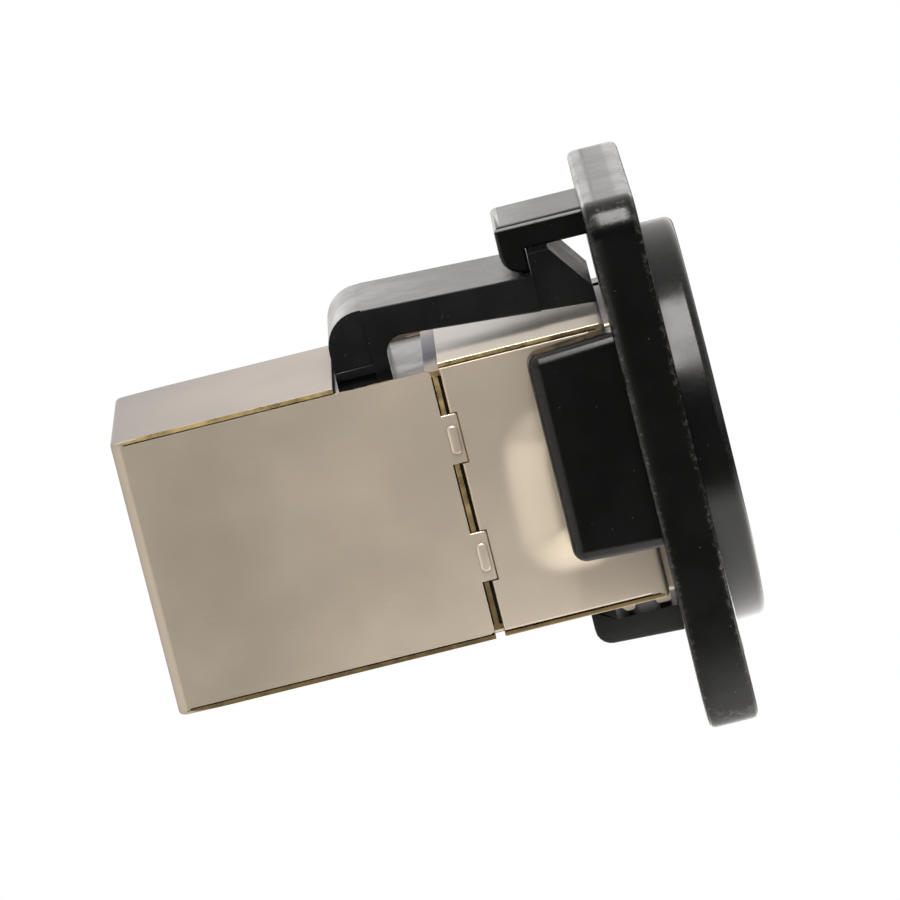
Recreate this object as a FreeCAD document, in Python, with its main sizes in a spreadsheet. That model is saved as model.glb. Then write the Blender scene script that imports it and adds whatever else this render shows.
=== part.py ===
# Shielded network coupler in a square panel flange: two sockets back to back,
# held in the flange by a sprung latch above and a fixed lug below.
# Millimetres. +X points out of the front socket, +Z up, Y across.
# The origin is the centre of the ring, in the flange face that bears on the panel.
import FreeCAD, Part
import os
import re
import Sketcher

doc = FreeCAD.newDocument("coupler")
sheet = doc.addObject("Spreadsheet::Sheet", "Sizes")

# Driving dimensions: alias, value, what it is.
SIZES = [
    ("flange_side", 1.1, "plate beyond the ring, each side"),
    ("flange_margin", 1.15, "plate above the hook arm, and as much below"),
    ("flange_thickness", 3.0, "flange plate along X"),
    ("flange_corner", 2.0, "corner radius of the plate"),
    ("flange_edge", 0.4, "rounding of the plate's rims"),
    ("ring_wall", 0.89, "thinnest wall of the boss, at the window's corners"),
    ("ring_height", 2.0, "boss height in front of the plate"),
    ("ring_edge", 0.4, "chamfer of the boss rim"),
    ("screw_edge", 3.5, "screw hole centres from the plate's edges"),
    ("screw_hole", 3.2, "screw hole diameter"),
    ("neck_front", 1.7, "front of the neck before the panel face"),
    ("window_gap", 0.15, "play between neck and window, each side"),
    ("cheek_reach", 5.1, "length of the guide cheeks behind the plate"),
    ("cheek_thickness", 2.6, "thickness of each guide cheek"),
    ("cheek_top", 7.65, "top of the cheek's rear end"),
    ("cheek_bottom", 4.5, "bottom of the cheek's rear end, below the axis"),
    ("cheek_draft", 0.055, "draft of the cheek, rise over run"),
    ("cheek_round", 0.65, "rounding of the cheek"),
    ("hook_width", 8.4, "width of the hook arm and of the lower lip"),
    ("hook_reach", 5.15, "length of the hook arm behind the plate"),
    ("hook_gap", 0.15, "gap between the catch's top and the hook arm"),
    ("hook_thickness", 1.6, "thickness of the hook arm"),
    ("hook_nose_width", 1.5, "length of the nose along X"),
    ("hook_nose_gap", 0.1, "gap between the nose and the latch arm"),
    ("hook_round", 0.45, "rounding of the hook arm's edges"),
    ("hook_nose_round", 1.3, "rounding of the nose at its rear"),
    ("lip_reach", 5.0, "length of the lower lip behind the plate"),
    ("lip_gap", 0.2, "gap between the lug and the lip's floor"),
    ("lip_draft", 0.05, "draft of the lip's underside, rise over run"),
    ("lip_thickness", 1.3, "thickness of the lip"),
    ("lip_rim_width", 1.4, "upturned rim of the lip along X"),
    ("lip_rim_height", 1.0, "height of the rim above the lip's floor"),
    ("lip_round", 0.9, "rounding of the lip's lower rear edge"),
    ("lip_edge", 0.35, "rounding of the lip's long edges"),
    ("sheet_thickness", 0.25, "sheet metal of the shells"),
    ("sheet_bend", 0.5, "outside radius of the rear shell's bends"),
    ("seam_gap", 0.07, "open seam between side walls and covers"),
    ("shell_step", 0.3, "shoulder of the front shell behind the plate"),
    ("front_shell_length", 9.7, "front shell from its shoulder to its rear edge"),
    ("rear_shell_length", 18.65, "rear shell from its rear face to its side edge"),
    ("shell_gap", 0.55, "gap between the two shells at the sides"),
    ("lap_length", 1.7, "tongue of the front shell under the rear shell"),
    ("lap_cover", 0.85, "length of the tongue's upper wall"),
    ("lap_weld", 0.8, "part of the tongue doubled inside the front shell"),
    ("tab_reach", 0.9, "length of the locking tabs"),
    ("tab_root", 0.5, "part of a tab that lies in its wall"),
    ("tab_height", 2.88, "height of the locking tabs"),
    ("tab_upper", 3.72, "centre of the upper tab above the axis"),
    ("tab_lower", 3.28, "centre of the lower tab below the axis"),
    ("tab_gap", 0.07, "gap round each tab"),
    ("pip_length", 0.7, "pressed pip of a tab along X"),
    ("pip_height", 1.7, "pressed pip of a tab along Z"),
    ("pip_rise", 0.16, "height of the pip"),
    ("pip_inset", 0.1, "pip behind the tab's end"),
    ("cover_gap", 0.25, "gap between the rear shell's top cover and the latch foot"),
    ("bump_width", 5.6, "pressed grounding bump along X, at its foot"),
    ("bump_height", 10.0, "grounding bump along Z, at its foot"),
    ("bump_offset", 2.9, "part of the bump behind the cheek's rear end"),
    ("bump_centre", 0.2, "centre of the bump below the axis"),
    ("bump_rise", 0.5, "height of the grounding bump"),
    ("bump_slope", 1.9, "width of the bump's sloping border"),
    ("bump_corner", 1.5, "corner radius of the bump"),
    ("bump_gap", 0.05, "gap between bump and cheek"),
    ("lug_width", 7.0, "fixed lug across Y"),
    ("lug_drop", 1.15, "fixed lug below the shell"),
    ("lug_gap", 0.1, "play between lug and lip rim"),
    ("lug_wall", 0.35, "rear wall of the lug"),
    ("lug_floor", 0.3, "floor of the lug"),
    ("lug_pad", 1.4, "solid front part of the lug along X"),
    ("port_width", 11.8, "plug opening across Y"),
    ("port_height", 6.8, "plug opening along Z"),
    ("port_top", 4.1, "top of the plug opening above the axis"),
    ("clip_width", 6.2, "clip slot, wide step"),
    ("clip_height", 1.5, "clip slot, height of the wide step"),
    ("clip_stem_width", 4.0, "clip slot, narrow step"),
    ("clip_stem_height", 1.2, "clip slot, height of the narrow step"),
    ("socket_wall", 1.05, "wall of an insert beside the plug opening"),
    ("socket_roof", 2.7, "insert above the plug opening"),
    ("insert_gap", 0.05, "play round the inserts"),
    ("bezel_thickness", 1.2, "wider front rim of an insert"),
    ("bezel_lip", 0.9, "rim beyond the insert, above and below"),
    ("socket_back", 2.2, "insert behind the plug cavity"),
    ("contact_pitch", 1.02, "distance between contacts"),
    ("contact_width", 0.42, "contact wire across Y"),
    ("contact_thickness", 0.34, "contact wire, thickness"),
    ("contact_cover", 1.2, "straight run of the contacts above the plug opening"),
    ("contact_front", 2.6, "nose of the contacts behind the insert's face"),
    ("contact_tip", 10.4, "free end of the contacts behind the insert's face"),
    ("contact_drop", 3.7, "fall of the spring from its straight run"),
    ("contact_bend", 1.0, "height of the contacts' nose"),
    ("contact_tail", 0.5, "tail standing out of the board"),
    ("contact_play", 0.04, "play round a contact in its slot"),
    ("comb_length", 1.5, "contact comb along X"),
    ("comb_inset", 0.65, "insert beyond the comb, each side"),
    ("comb_below", 1.5, "comb below the contacts' straight run"),
    ("comb_gap", 0.1, "gap between comb and insert"),
    ("board_thickness", 1.6, "circuit board"),
    ("board_play", 0.15, "play round the board in the sleeve"),
    ("board_gap", 0.05, "gap between board and comb"),
    ("board_hole", 0.7, "plated holes of the board"),
    ("sleeve_front", 6.2, "sleeve of the housing ahead of the board"),
    ("sleeve_rear", 6.6, "sleeve of the housing behind the board"),
    ("sleeve_wall", 0.475, "wall of the sleeve beside an insert"),
    ("sleeve_roof", 0.8, "wall of the sleeve above an insert"),
    ("sleeve_floor", 0.7, "wall of the sleeve below an insert"),
    ("sleeve_gap", 0.05, "play between sleeve and tongue"),
    ("latch_width", 10.8, "latch arm across Y"),
    ("latch_catch_step", 0.45, "arm beyond the catch, each side"),
    ("latch_foot_gap", 2.7, "front shell's rear edge to the latch foot"),
    ("latch_foot_length", 3.2, "latch foot along X"),
    ("latch_root", 0.3, "part of the foot that lies in the sleeve's roof"),
    ("latch_rise_rear", 3.65, "top of the arm above the shells, at its rear"),
    ("latch_rise_front", 3.15, "top of the arm above the shells, at the catch"),
    ("latch_thickness", 1.9, "thickness of the arm over the foot"),
    ("latch_clearance", 0.75, "arm's front end above the shells"),
    ("latch_front_gap", 0.38, "gap between the arm's front end and the plate"),
    ("latch_catch_gap", 0.06, "play between catch and nose"),
    ("latch_catch_height", 1.25, "catch above the arm"),
    ("latch_catch_flat", 1.25, "flat top of the catch"),
    ("latch_lip", 0.92, "height of the arm's front end below the ramp"),
    ("latch_bend", 2.1, "rounding over the latch foot"),
    ("latch_inner_bend", 1.1, "rounding under the arm at the foot"),
    ("latch_panel", 2.3, "recessed rear part of the foot, along X"),
    ("latch_recess", 0.3, "depth of the recess on each side"),
    ("ledge_rise", 0.38, "upper edge of the foot's ledge above the shells"),
    ("ledge_height", 0.5, "height of the ledge"),
    ("overcut", 0.1, "how far a cut runs past the face that it opens"),
]

for row, (alias, number, note) in enumerate(SIZES, 1):
    sheet.set("A%d" % row, note)
    sheet.set("B%d" % row, str(number))
    sheet.setAlias("B%d" % row, alias)
doc.recompute()

WORDS = sorted((alias for alias, number, note in SIZES), key=len, reverse=True)
ALIAS = re.compile(r"\b(%s)\b" % "|".join(WORDS))
CONTACTS = 8
# An edge at least this far from a level is picked as lying off it.
CLEAR = 0.02

# Places that several pieces share, written as formulas over the sizes above.
PLATE_REAR = "-flange_thickness"
SHOULDER = "-(flange_thickness + shell_step)"
INSERT_WIDTH = "(port_width + 2 * socket_wall)"
INSERT_HALF = "(port_top + socket_roof)"
BEZEL_HALF = "(%s + bezel_lip)" % INSERT_HALF
NECK_WIDTH = "(%s + 2 * insert_gap + 2 * sheet_thickness)" % INSERT_WIDTH
NECK_HALF = "(%s + insert_gap + sheet_thickness)" % BEZEL_HALF
SLEEVE_WIDTH = "(%s + 2 * insert_gap + 2 * sleeve_wall)" % INSERT_WIDTH
SLEEVE_TOP = "(%s + insert_gap + sleeve_roof)" % INSERT_HALF
SLEEVE_BOTTOM = "(%s + insert_gap + sleeve_floor)" % INSERT_HALF
SHELL_WIDTH = "(%s + 2 * sleeve_gap + 4 * sheet_thickness)" % SLEEVE_WIDTH
SHELL_TOP = "(%s + sleeve_gap + 2 * sheet_thickness)" % SLEEVE_TOP
SHELL_BOTTOM = "(%s + sleeve_gap + 2 * sheet_thickness)" % SLEEVE_BOTTOM
FRONT_SHELL_REAR = SHOULDER + " - front_shell_length"
REAR_SHELL_FRONT = FRONT_SHELL_REAR + " - shell_gap"
REAR_FACE = REAR_SHELL_FRONT + " - rear_shell_length"
HALF_SHELL = "(%s / 2)" % SHELL_WIDTH
CHEEK_INNER = "(%s + bump_rise + bump_gap)" % HALF_SHELL
INSERT_FACE = "(neck_front - sheet_thickness - insert_gap)"
MIDDLE = "((neck_front + (%s)) / 2)" % REAR_FACE
BOARD_FRONT = "(%s + board_thickness / 2)" % MIDDLE
COMB_REAR = "(%s + board_gap)" % BOARD_FRONT
INSERT_REAR = "(%s + comb_length + comb_gap)" % COMB_REAR
PORT_BOTTOM = "(port_top - port_height)"
CONTACT_LEVEL = "(port_top + contact_cover)"
ARM_TOP_REAR = "(%s + latch_rise_rear)" % SHELL_TOP
ARM_TOP_FRONT = "(%s + latch_rise_front)" % SHELL_TOP
ARM_UNDER_FRONT = "(%s + latch_clearance)" % SHELL_TOP
CATCH_TOP = "(%s + latch_catch_height)" % ARM_TOP_FRONT
FOOT_FRONT = "(%s - latch_foot_gap)" % FRONT_SHELL_REAR
FOOT_REAR = "(%s - latch_foot_length)" % FOOT_FRONT
HOOK_UNDER = "(%s + hook_gap)" % CATCH_TOP
HOOK_TOP = "(%s + hook_thickness)" % HOOK_UNDER
LIP_FLOOR = "-(%s + lug_drop + lip_gap)" % SHELL_BOTTOM
WINDOW_WIDTH = "(%s + 2 * window_gap)" % NECK_WIDTH
WINDOW_HALF = "(%s + window_gap)" % NECK_HALF
RING_RADIUS = "(sqrt((%s / 2) ^ 2 + %s ^ 2) + ring_wall)" % (WINDOW_WIDTH, WINDOW_HALF)
FLANGE_WIDTH = "(2 * %s + 2 * flange_side)" % RING_RADIUS
FLANGE_HALF = "(%s + flange_margin)" % HOOK_TOP


def bound(formula):
    """The formula with each size named as a cell of the sheet."""
    return ALIAS.sub(r"Sizes.\1", formula)


def value(formula):
    """The formula's present value."""
    answer = sheet.evalExpression(bound(formula))
    return float(getattr(answer, "Value", answer))


def new_body(label):
    body = doc.addObject("PartDesign::Body", label)
    body.Label = label
    return body


def plane(body, role):
    for feature in body.Origin.OriginFeatures:
        if feature.Role == role:
            return feature
    raise ValueError(role)


def new_sketch(body, name, role, offset="0"):
    """A sketch on one of the body's own planes, moved along its normal."""
    sketch = body.newObject("Sketcher::SketchObject", name)
    sketch.AttachmentSupport = [(plane(body, role), "")]
    sketch.MapMode = "FlatFace"
    sketch.setExpression("AttachmentOffset.Base.z", bound(offset))
    return sketch


def pin_point(sketch, line, across, up):
    """Ties a line's start point to the two formulas."""
    for kind, formula in (("DistanceX", across), ("DistanceY", up)):
        index = sketch.addConstraint(Sketcher.Constraint(kind, -1, 1, line, 1, value(formula)))
        sketch.setExpression("Constraints[%d]" % index, bound(formula))


def polygon(sketch, corners):
    """A closed outline through corners given as pairs of formulas."""
    points = [FreeCAD.Vector(value(across), value(up), 0) for across, up in corners]
    first = sketch.GeometryCount
    count = len(points)
    for number in range(count):
        sketch.addGeometry(Part.LineSegment(points[number], points[(number + 1) % count]), False)
    for number in range(count):
        following = first + (number + 1) % count
        sketch.addConstraint(Sketcher.Constraint("Coincident", first + number, 2, following, 1))
    for number, (across, up) in enumerate(corners):
        pin_point(sketch, first + number, across, up)


def rectangle(sketch, low_across, high_across, low_up, high_up):
    polygon(sketch, [(low_across, low_up), (high_across, low_up),
                     (high_across, high_up), (low_across, high_up)])


def centred(sketch, width, low_up, high_up):
    rectangle(sketch, "-(%s) / 2" % width, "(%s) / 2" % width, low_up, high_up)


def circle(sketch, across, up, diameter):
    centre = FreeCAD.Vector(value(across), value(up), 0)
    round_line = Part.Circle(centre, FreeCAD.Vector(0, 0, 1), value(diameter) / 2)
    index = sketch.addGeometry(round_line, False)
    for kind, formula in (("DistanceX", across), ("DistanceY", up)):
        place = sketch.addConstraint(Sketcher.Constraint(kind, -1, 1, index, 3, value(formula)))
        sketch.setExpression("Constraints[%d]" % place, bound(formula))
    size = sketch.addConstraint(Sketcher.Constraint("Diameter", index, value(diameter)))
    sketch.setExpression("Constraints[%d]" % size, bound(diameter))


def pad(body, sketch, length, reverse=False, middle=False):
    feature = body.newObject("PartDesign::Pad", sketch.Name + "_pad")
    feature.Profile = sketch
    feature.setExpression("Length", bound(length))
    feature.Reversed = reverse
    feature.Midplane = middle
    doc.recompute()
    return feature


def pocket(body, sketch, length, reverse=False, middle=False):
    """Cuts the sketch's outline, and refuses a cut that takes nothing away."""
    before = body.Shape.Volume
    feature = body.newObject("PartDesign::Pocket", sketch.Name + "_cut")
    feature.Profile = sketch
    feature.setExpression("Length", bound(length))
    feature.Reversed = reverse
    feature.Midplane = middle
    doc.recompute()
    if not body.Shape.Volume < before - 1e-6:
        raise RuntimeError("%s cuts nothing" % sketch.Name)
    return feature


def edge_names(shape, wanted):
    """Names of the edges whose middle point and direction pass the test."""
    names = []
    for number, edge in enumerate(shape.Edges, 1):
        middle = edge.valueAt((edge.FirstParameter + edge.LastParameter) / 2)
        ends = edge.BoundBox
        span = FreeCAD.Vector(ends.XLength, ends.YLength, ends.ZLength)
        if wanted(middle, span):
            names.append("Edge%d" % number)
    return names


def dress_edges(body, name, kind, measure, size, wanted):
    """Fillet or chamfer on the edges of the body's present shape that pass the test."""
    base = body.Tip
    feature = body.newObject("PartDesign::" + kind, name)
    feature.Base = (base, edge_names(base.Shape, wanted))
    feature.setExpression(measure, bound(size))
    doc.recompute()


def round_edges(body, name, radius, wanted):
    dress_edges(body, name, "Fillet", "Radius", radius, wanted)


def near(one, other, play=0.01):
    return abs(one - other) < play


def flange_frame():
    """Die-cast flange: plate, ring, window, cheeks, hook arm and lip in one piece."""
    body = new_body("flange_frame")
    outline = new_sketch(body, "plate_outline", "YZ_Plane")
    centred(outline, FLANGE_WIDTH, "-" + FLANGE_HALF, FLANGE_HALF)
    pad(body, outline, "flange_thickness", reverse=True)
    round_edges(body, "plate_corners", "flange_corner", lambda at, span: span.x > 0.1)
    front = 0.0
    rear = value(PLATE_REAR)
    round_edges(body, "plate_rims", "flange_edge",
                lambda at, span: near(at.x, front) or near(at.x, rear))

    ring = new_sketch(body, "ring_outline", "YZ_Plane")
    circle(ring, "0", "0", "2 * " + RING_RADIUS)
    pad(body, ring, "ring_height")
    ring_front = value("ring_height")
    dress_edges(body, "ring_rim", "Chamfer", "Size", "ring_edge",
                lambda at, span: near(at.x, ring_front))

    cheeks = new_sketch(body, "cheek_side", "XZ_Plane")
    cheek_rear = PLATE_REAR + " - cheek_reach"
    rise = "cheek_draft * cheek_reach"
    polygon(cheeks, [(PLATE_REAR, "-cheek_bottom - " + rise), (PLATE_REAR, "cheek_top + " + rise),
                     (cheek_rear, "cheek_top"), (cheek_rear, "-cheek_bottom")])
    pad(body, cheeks, "2 * (%s + cheek_thickness)" % CHEEK_INNER, middle=True)
    space = new_sketch(body, "cheek_space", "XZ_Plane")
    rectangle(space, cheek_rear + " - overcut", PLATE_REAR,
              "-cheek_bottom - %s - overcut" % rise, "cheek_top + %s + overcut" % rise)
    pocket(body, space, "2 * " + CHEEK_INNER, middle=True)
    back = value(cheek_rear)
    inner = value(CHEEK_INNER)
    outer = inner + value("cheek_thickness")
    round_edges(body, "cheek_edges", "cheek_round",
                lambda at, span: (at.x < rear - CLEAR
                                  and (near(abs(at.y), outer) or near(at.x, back))
                                  and not near(abs(at.y), inner)))

    hook = new_sketch(body, "hook_side", "XZ_Plane")
    hook_rear = PLATE_REAR + " - hook_reach"
    nose_front = hook_rear + " + hook_nose_width"
    nose_foot = ARM_TOP_FRONT + " + hook_nose_gap"
    polygon(hook, [(PLATE_REAR, HOOK_TOP), (hook_rear, HOOK_TOP), (hook_rear, nose_foot),
                   (nose_front, nose_foot), (nose_front, HOOK_UNDER), (PLATE_REAR, HOOK_UNDER)])
    pad(body, hook, "hook_width", middle=True)
    end = value(hook_rear)
    top = value(HOOK_TOP)
    low = value(nose_foot)
    round_edges(body, "hook_end", "hook_round",
                lambda at, span: near(at.x, end) and near(at.z, top) and span.y > 1)
    round_edges(body, "hook_nose", "hook_nose_round",
                lambda at, span: near(at.x, end) and near(at.z, low) and span.y > 1)
    side = value("hook_width") / 2
    level = value(HOOK_UNDER)
    round_edges(body, "hook_edges", "hook_round",
                lambda at, span: (near(abs(at.y), side) and at.x < rear - CLEAR
                                  and at.z > level + CLEAR))

    lip = new_sketch(body, "lip_side", "XZ_Plane")
    lip_rear = PLATE_REAR + " - lip_reach"
    bottom = LIP_FLOOR + " - lip_thickness"
    rim_front = lip_rear + " + lip_rim_width"
    rim_top = LIP_FLOOR + " + lip_rim_height"
    polygon(lip, [(PLATE_REAR, bottom + " - lip_draft * lip_reach"), (lip_rear, bottom),
                  (lip_rear, rim_top), (rim_front, rim_top),
                  (rim_front, LIP_FLOOR), (PLATE_REAR, LIP_FLOOR)])
    pad(body, lip, "hook_width", middle=True)
    lip_end = value(lip_rear)
    lip_low = value(bottom)
    lip_high = value(rim_top)
    round_edges(body, "lip_heel", "lip_round",
                lambda at, span: near(at.x, lip_end) and near(at.z, lip_low) and span.y > 1)
    round_edges(body, "lip_rim", "lip_edge",
                lambda at, span: near(at.x, lip_end) and near(at.z, lip_high) and span.y > 1)
    floor_level = value(LIP_FLOOR)
    round_edges(body, "lip_edges", "lip_edge",
                lambda at, span: (near(abs(at.y), side) and at.x < rear - CLEAR
                                  and at.z < floor_level - CLEAR))

    window = new_sketch(body, "window_outline", "YZ_Plane", "ring_height")
    centred(window, WINDOW_WIDTH, "-" + WINDOW_HALF, WINDOW_HALF)
    pocket(body, window, "ring_height + flange_thickness")
    screws = new_sketch(body, "screw_holes", "YZ_Plane")
    across = "(%s / 2 - screw_edge)" % FLANGE_WIDTH
    up = "(%s - screw_edge)" % FLANGE_HALF
    circle(screws, "-" + across, up, "screw_hole")
    circle(screws, across, "-" + up, "screw_hole")
    pocket(body, screws, "flange_thickness")
    return body


def port_outline(sketch, upright=True):
    """Plug opening with its stepped clip slot, below or, turned over, above."""
    sign = "" if upright else "-1 * "
    levels = [PORT_BOTTOM, PORT_BOTTOM + " - clip_height",
              PORT_BOTTOM + " - clip_height - clip_stem_height"]
    half = ["port_width / 2", "clip_width / 2", "clip_stem_width / 2"]
    right = [(half[0], levels[0]), (half[1], levels[0]), (half[1], levels[1]),
             (half[2], levels[1]), (half[2], levels[2])]
    left = [("-" + across, up) for across, up in reversed(right)]
    corners = [(half[0], "port_top")] + right + left + [("-" + half[0], "port_top")]
    polygon(sketch, [(across, "%s(%s)" % (sign, up)) for across, up in corners])


def seam_slots(sketch):
    """Four slots that part the side walls from the top and bottom covers."""
    for side in ("", "-"):
        edges = sorted((side + "(%s - sheet_thickness)" % HALF_SHELL,
                        side + "(%s + overcut)" % HALF_SHELL), key=value)
        rectangle(sketch, edges[0], edges[1],
                  SHELL_TOP + " - sheet_thickness - seam_gap", SHELL_TOP + " - sheet_thickness")
        rectangle(sketch, edges[0], edges[1], "sheet_thickness - " + SHELL_BOTTOM,
                  "sheet_thickness + seam_gap - " + SHELL_BOTTOM)


def shell_section(sketch, layers):
    """Section of the shells, taken in by a number of sheet thicknesses."""
    inset = "%d * sheet_thickness" % layers
    centred(sketch, "(%s - 2 * %s)" % (SHELL_WIDTH, inset),
            "%s - %s" % (inset, SHELL_BOTTOM), "%s - %s" % (SHELL_TOP, inset))


def tab_levels(play="0"):
    """Lower and upper edges of the two locking tabs."""
    reach = "(tab_height / 2 + %s)" % play
    return [("tab_upper - " + reach, "tab_upper + " + reach),
            ("-tab_lower - " + reach, "-tab_lower + " + reach)]


def bump_sketch(body, name, side, height, shrink, slope):
    """Outline of the grounding bump at a height over the shell's side."""
    level = "%s * (%s + %s)" % (side, HALF_SHELL, height)
    sketch = new_sketch(body, name, "XZ_Plane", level)
    rear = "(-flange_thickness - cheek_reach - bump_offset + %s + %s)" % (shrink, slope)
    front = "(%s + bump_width - 2 * (%s + %s))" % (rear, shrink, slope)
    reach = "(bump_height / 2 - %s - %s)" % (shrink, slope)
    rectangle(sketch, rear, front, "-bump_centre - " + reach, "-bump_centre + " + reach)
    return sketch


def add_loft(body, kind, name, lower, upper):
    feature = body.newObject(kind, name)
    feature.Profile = lower
    feature.Sections = [upper]
    feature.Ruled = True
    doc.recompute()
    return feature


def front_shell():
    """Folded front shell with the neck, the lap tongue, two bumps and the lug."""
    body = new_body("front_shell")
    main = new_sketch(body, "front_walls", "YZ_Plane", SHOULDER)
    shell_section(main, 0)
    pad(body, main, "front_shell_length", reverse=True)
    neck = new_sketch(body, "front_neck", "YZ_Plane", "neck_front")
    centred(neck, NECK_WIDTH, "-" + NECK_HALF, NECK_HALF)
    pad(body, neck, "neck_front + flange_thickness + shell_step", reverse=True)
    lap = new_sketch(body, "front_lap", "YZ_Plane", FRONT_SHELL_REAR)
    shell_section(lap, 1)
    pad(body, lap, "lap_length", reverse=True)

    for number, side in enumerate(("1", "-1"), 1):
        lower = bump_sketch(body, "bump_foot_%d" % number, side, "0", "0", "0")
        upper = bump_sketch(body, "bump_top_%d" % number, side, "bump_rise", "0", "bump_slope")
        add_loft(body, "PartDesign::AdditiveLoft", "bump_%d" % number, lower, upper)
    wall = value(HALF_SHELL)
    crest = wall + value("bump_rise")
    round_edges(body, "bump_corners", "bump_corner",
                lambda at, span: wall + CLEAR < abs(at.y) < crest - CLEAR)
    round_edges(body, "bump_crest", "bump_slope / 2",
                lambda at, span: near(abs(at.y), crest))

    lug = new_sketch(body, "lug_side", "XZ_Plane")
    lug_rear = "(-flange_thickness - lip_reach + lip_rim_width + lug_gap)"
    lug_front = "(%s + shell_step / 2)" % SHOULDER
    shell_floor = "-" + SHELL_BOTTOM
    rectangle(lug, lug_rear, lug_front, shell_floor + " - lug_drop",
              shell_floor + " + sheet_thickness / 2")
    pad(body, lug, "lug_width", middle=True)
    lug_space = new_sketch(body, "lug_hollow", "XZ_Plane")
    rectangle(lug_space, lug_rear + " + lug_wall", lug_front + " - lug_pad",
              shell_floor + " - lug_drop + lug_floor", shell_floor)
    pocket(body, lug_space, "lug_width + 2 * overcut", middle=True)

    through = new_sketch(body, "front_lap_hollow", "YZ_Plane",
                         FRONT_SHELL_REAR + " - lap_length")
    shell_section(through, 2)
    pocket(body, through, "lap_length + front_shell_length - sheet_thickness", reverse=True)
    room = new_sketch(body, "front_hollow", "YZ_Plane", FRONT_SHELL_REAR + " + lap_weld")
    shell_section(room, 1)
    pocket(body, room, "front_shell_length - sheet_thickness - lap_weld", reverse=True)
    bore = new_sketch(body, "neck_hollow", "YZ_Plane", SHOULDER + " - sheet_thickness")
    centred(bore, "(%s - 2 * sheet_thickness)" % NECK_WIDTH,
            "sheet_thickness - " + NECK_HALF, NECK_HALF + " - sheet_thickness")
    pocket(body, bore, "neck_front + flange_thickness + shell_step", reverse=True)
    for number, side in enumerate(("1", "-1"), 1):
        lower = bump_sketch(body, "bump_hollow_foot_%d" % number, side,
                            "(-sheet_thickness - overcut)", "sheet_thickness", "0")
        upper = bump_sketch(body, "bump_hollow_top_%d" % number, side,
                            "(bump_rise - sheet_thickness)", "sheet_thickness", "bump_slope")
        add_loft(body, "PartDesign::SubtractiveLoft", "bump_hollow_%d" % number, lower, upper)

    short = new_sketch(body, "lap_cover_cut", "YZ_Plane", FRONT_SHELL_REAR + " - lap_length")
    centred(short, SHELL_WIDTH, SHELL_TOP + " - 2 * sheet_thickness - seam_gap", SHELL_TOP)
    pocket(body, short, "lap_length - lap_cover", reverse=True)

    opening = new_sketch(body, "front_opening", "YZ_Plane", "neck_front")
    port_outline(opening)
    pocket(body, opening, "sheet_thickness + overcut")
    seams = new_sketch(body, "front_seams", "YZ_Plane", FRONT_SHELL_REAR)
    seam_slots(seams)
    pocket(body, seams, "front_shell_length - 2 * sheet_thickness", reverse=True)
    depth = "tab_reach - shell_gap + tab_gap"
    notches = new_sketch(body, "tab_notches", "YZ_Plane", FRONT_SHELL_REAR)
    for side in ("", "-"):
        edges = sorted((side + "(%s - sheet_thickness)" % HALF_SHELL,
                        side + "(%s + overcut)" % HALF_SHELL), key=value)
        for low, high in tab_levels("tab_gap"):
            rectangle(notches, edges[0], edges[1], low, high)
    pocket(body, notches, depth, reverse=True)
    return body


def rear_shell():
    """Folded rear shell: port plate, four walls, locking tabs with pressed pips."""
    body = new_body("rear_shell")
    walls = new_sketch(body, "rear_walls", "YZ_Plane", REAR_FACE)
    shell_section(walls, 0)
    pad(body, walls, "rear_shell_length")
    back = value(REAR_FACE)
    round_edges(body, "rear_bends", "sheet_bend", lambda at, span: near(at.x, back))

    for number, side in enumerate(("1", "-1"), 1):
        tabs = new_sketch(body, "tabs_%d" % number, "XZ_Plane",
                          "%s * (%s - sheet_thickness)" % (side, HALF_SHELL))
        for low, high in tab_levels():
            rectangle(tabs, REAR_SHELL_FRONT + " - tab_root", REAR_SHELL_FRONT + " + tab_reach",
                      low, high)
        pad(body, tabs, "sheet_thickness", reverse=side == "-1")
        pips = new_sketch(body, "pips_%d" % number, "XZ_Plane", "%s * %s" % (side, HALF_SHELL))
        pip_front = REAR_SHELL_FRONT + " + tab_reach - pip_inset"
        for centre in ("tab_upper", "-tab_lower"):
            rectangle(pips, pip_front + " - pip_length", pip_front,
                      centre + " - pip_height / 2", centre + " + pip_height / 2")
        pad(body, pips, "pip_rise", reverse=side == "-1")
    crest = value(HALF_SHELL) + value("pip_rise")
    round_edges(body, "pip_crests", "pip_rise * 0.9",
                lambda at, span: near(abs(at.y), crest, 0.005))

    room = new_sketch(body, "rear_hollow", "YZ_Plane", REAR_SHELL_FRONT)
    shell_section(room, 1)
    pocket(body, room, "rear_shell_length - sheet_thickness")
    opening = new_sketch(body, "rear_opening", "YZ_Plane", REAR_FACE + " + sheet_thickness")
    port_outline(opening, upright=False)
    pocket(body, opening, "sheet_thickness + overcut")
    cover = new_sketch(body, "cover_cut_outline", "YZ_Plane", REAR_SHELL_FRONT)
    centred(cover, "(%s + 2 * overcut)" % SHELL_WIDTH,
            SHELL_TOP + " - sheet_thickness - seam_gap", SHELL_TOP + " + overcut")
    pocket(body, cover, "%s - %s + cover_gap" % (REAR_SHELL_FRONT, FOOT_REAR))
    seams = new_sketch(body, "rear_seams", "YZ_Plane", REAR_SHELL_FRONT)
    seam_slots(seams)
    pocket(body, seams, "rear_shell_length - 1.2 * sheet_bend")
    return body


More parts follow.
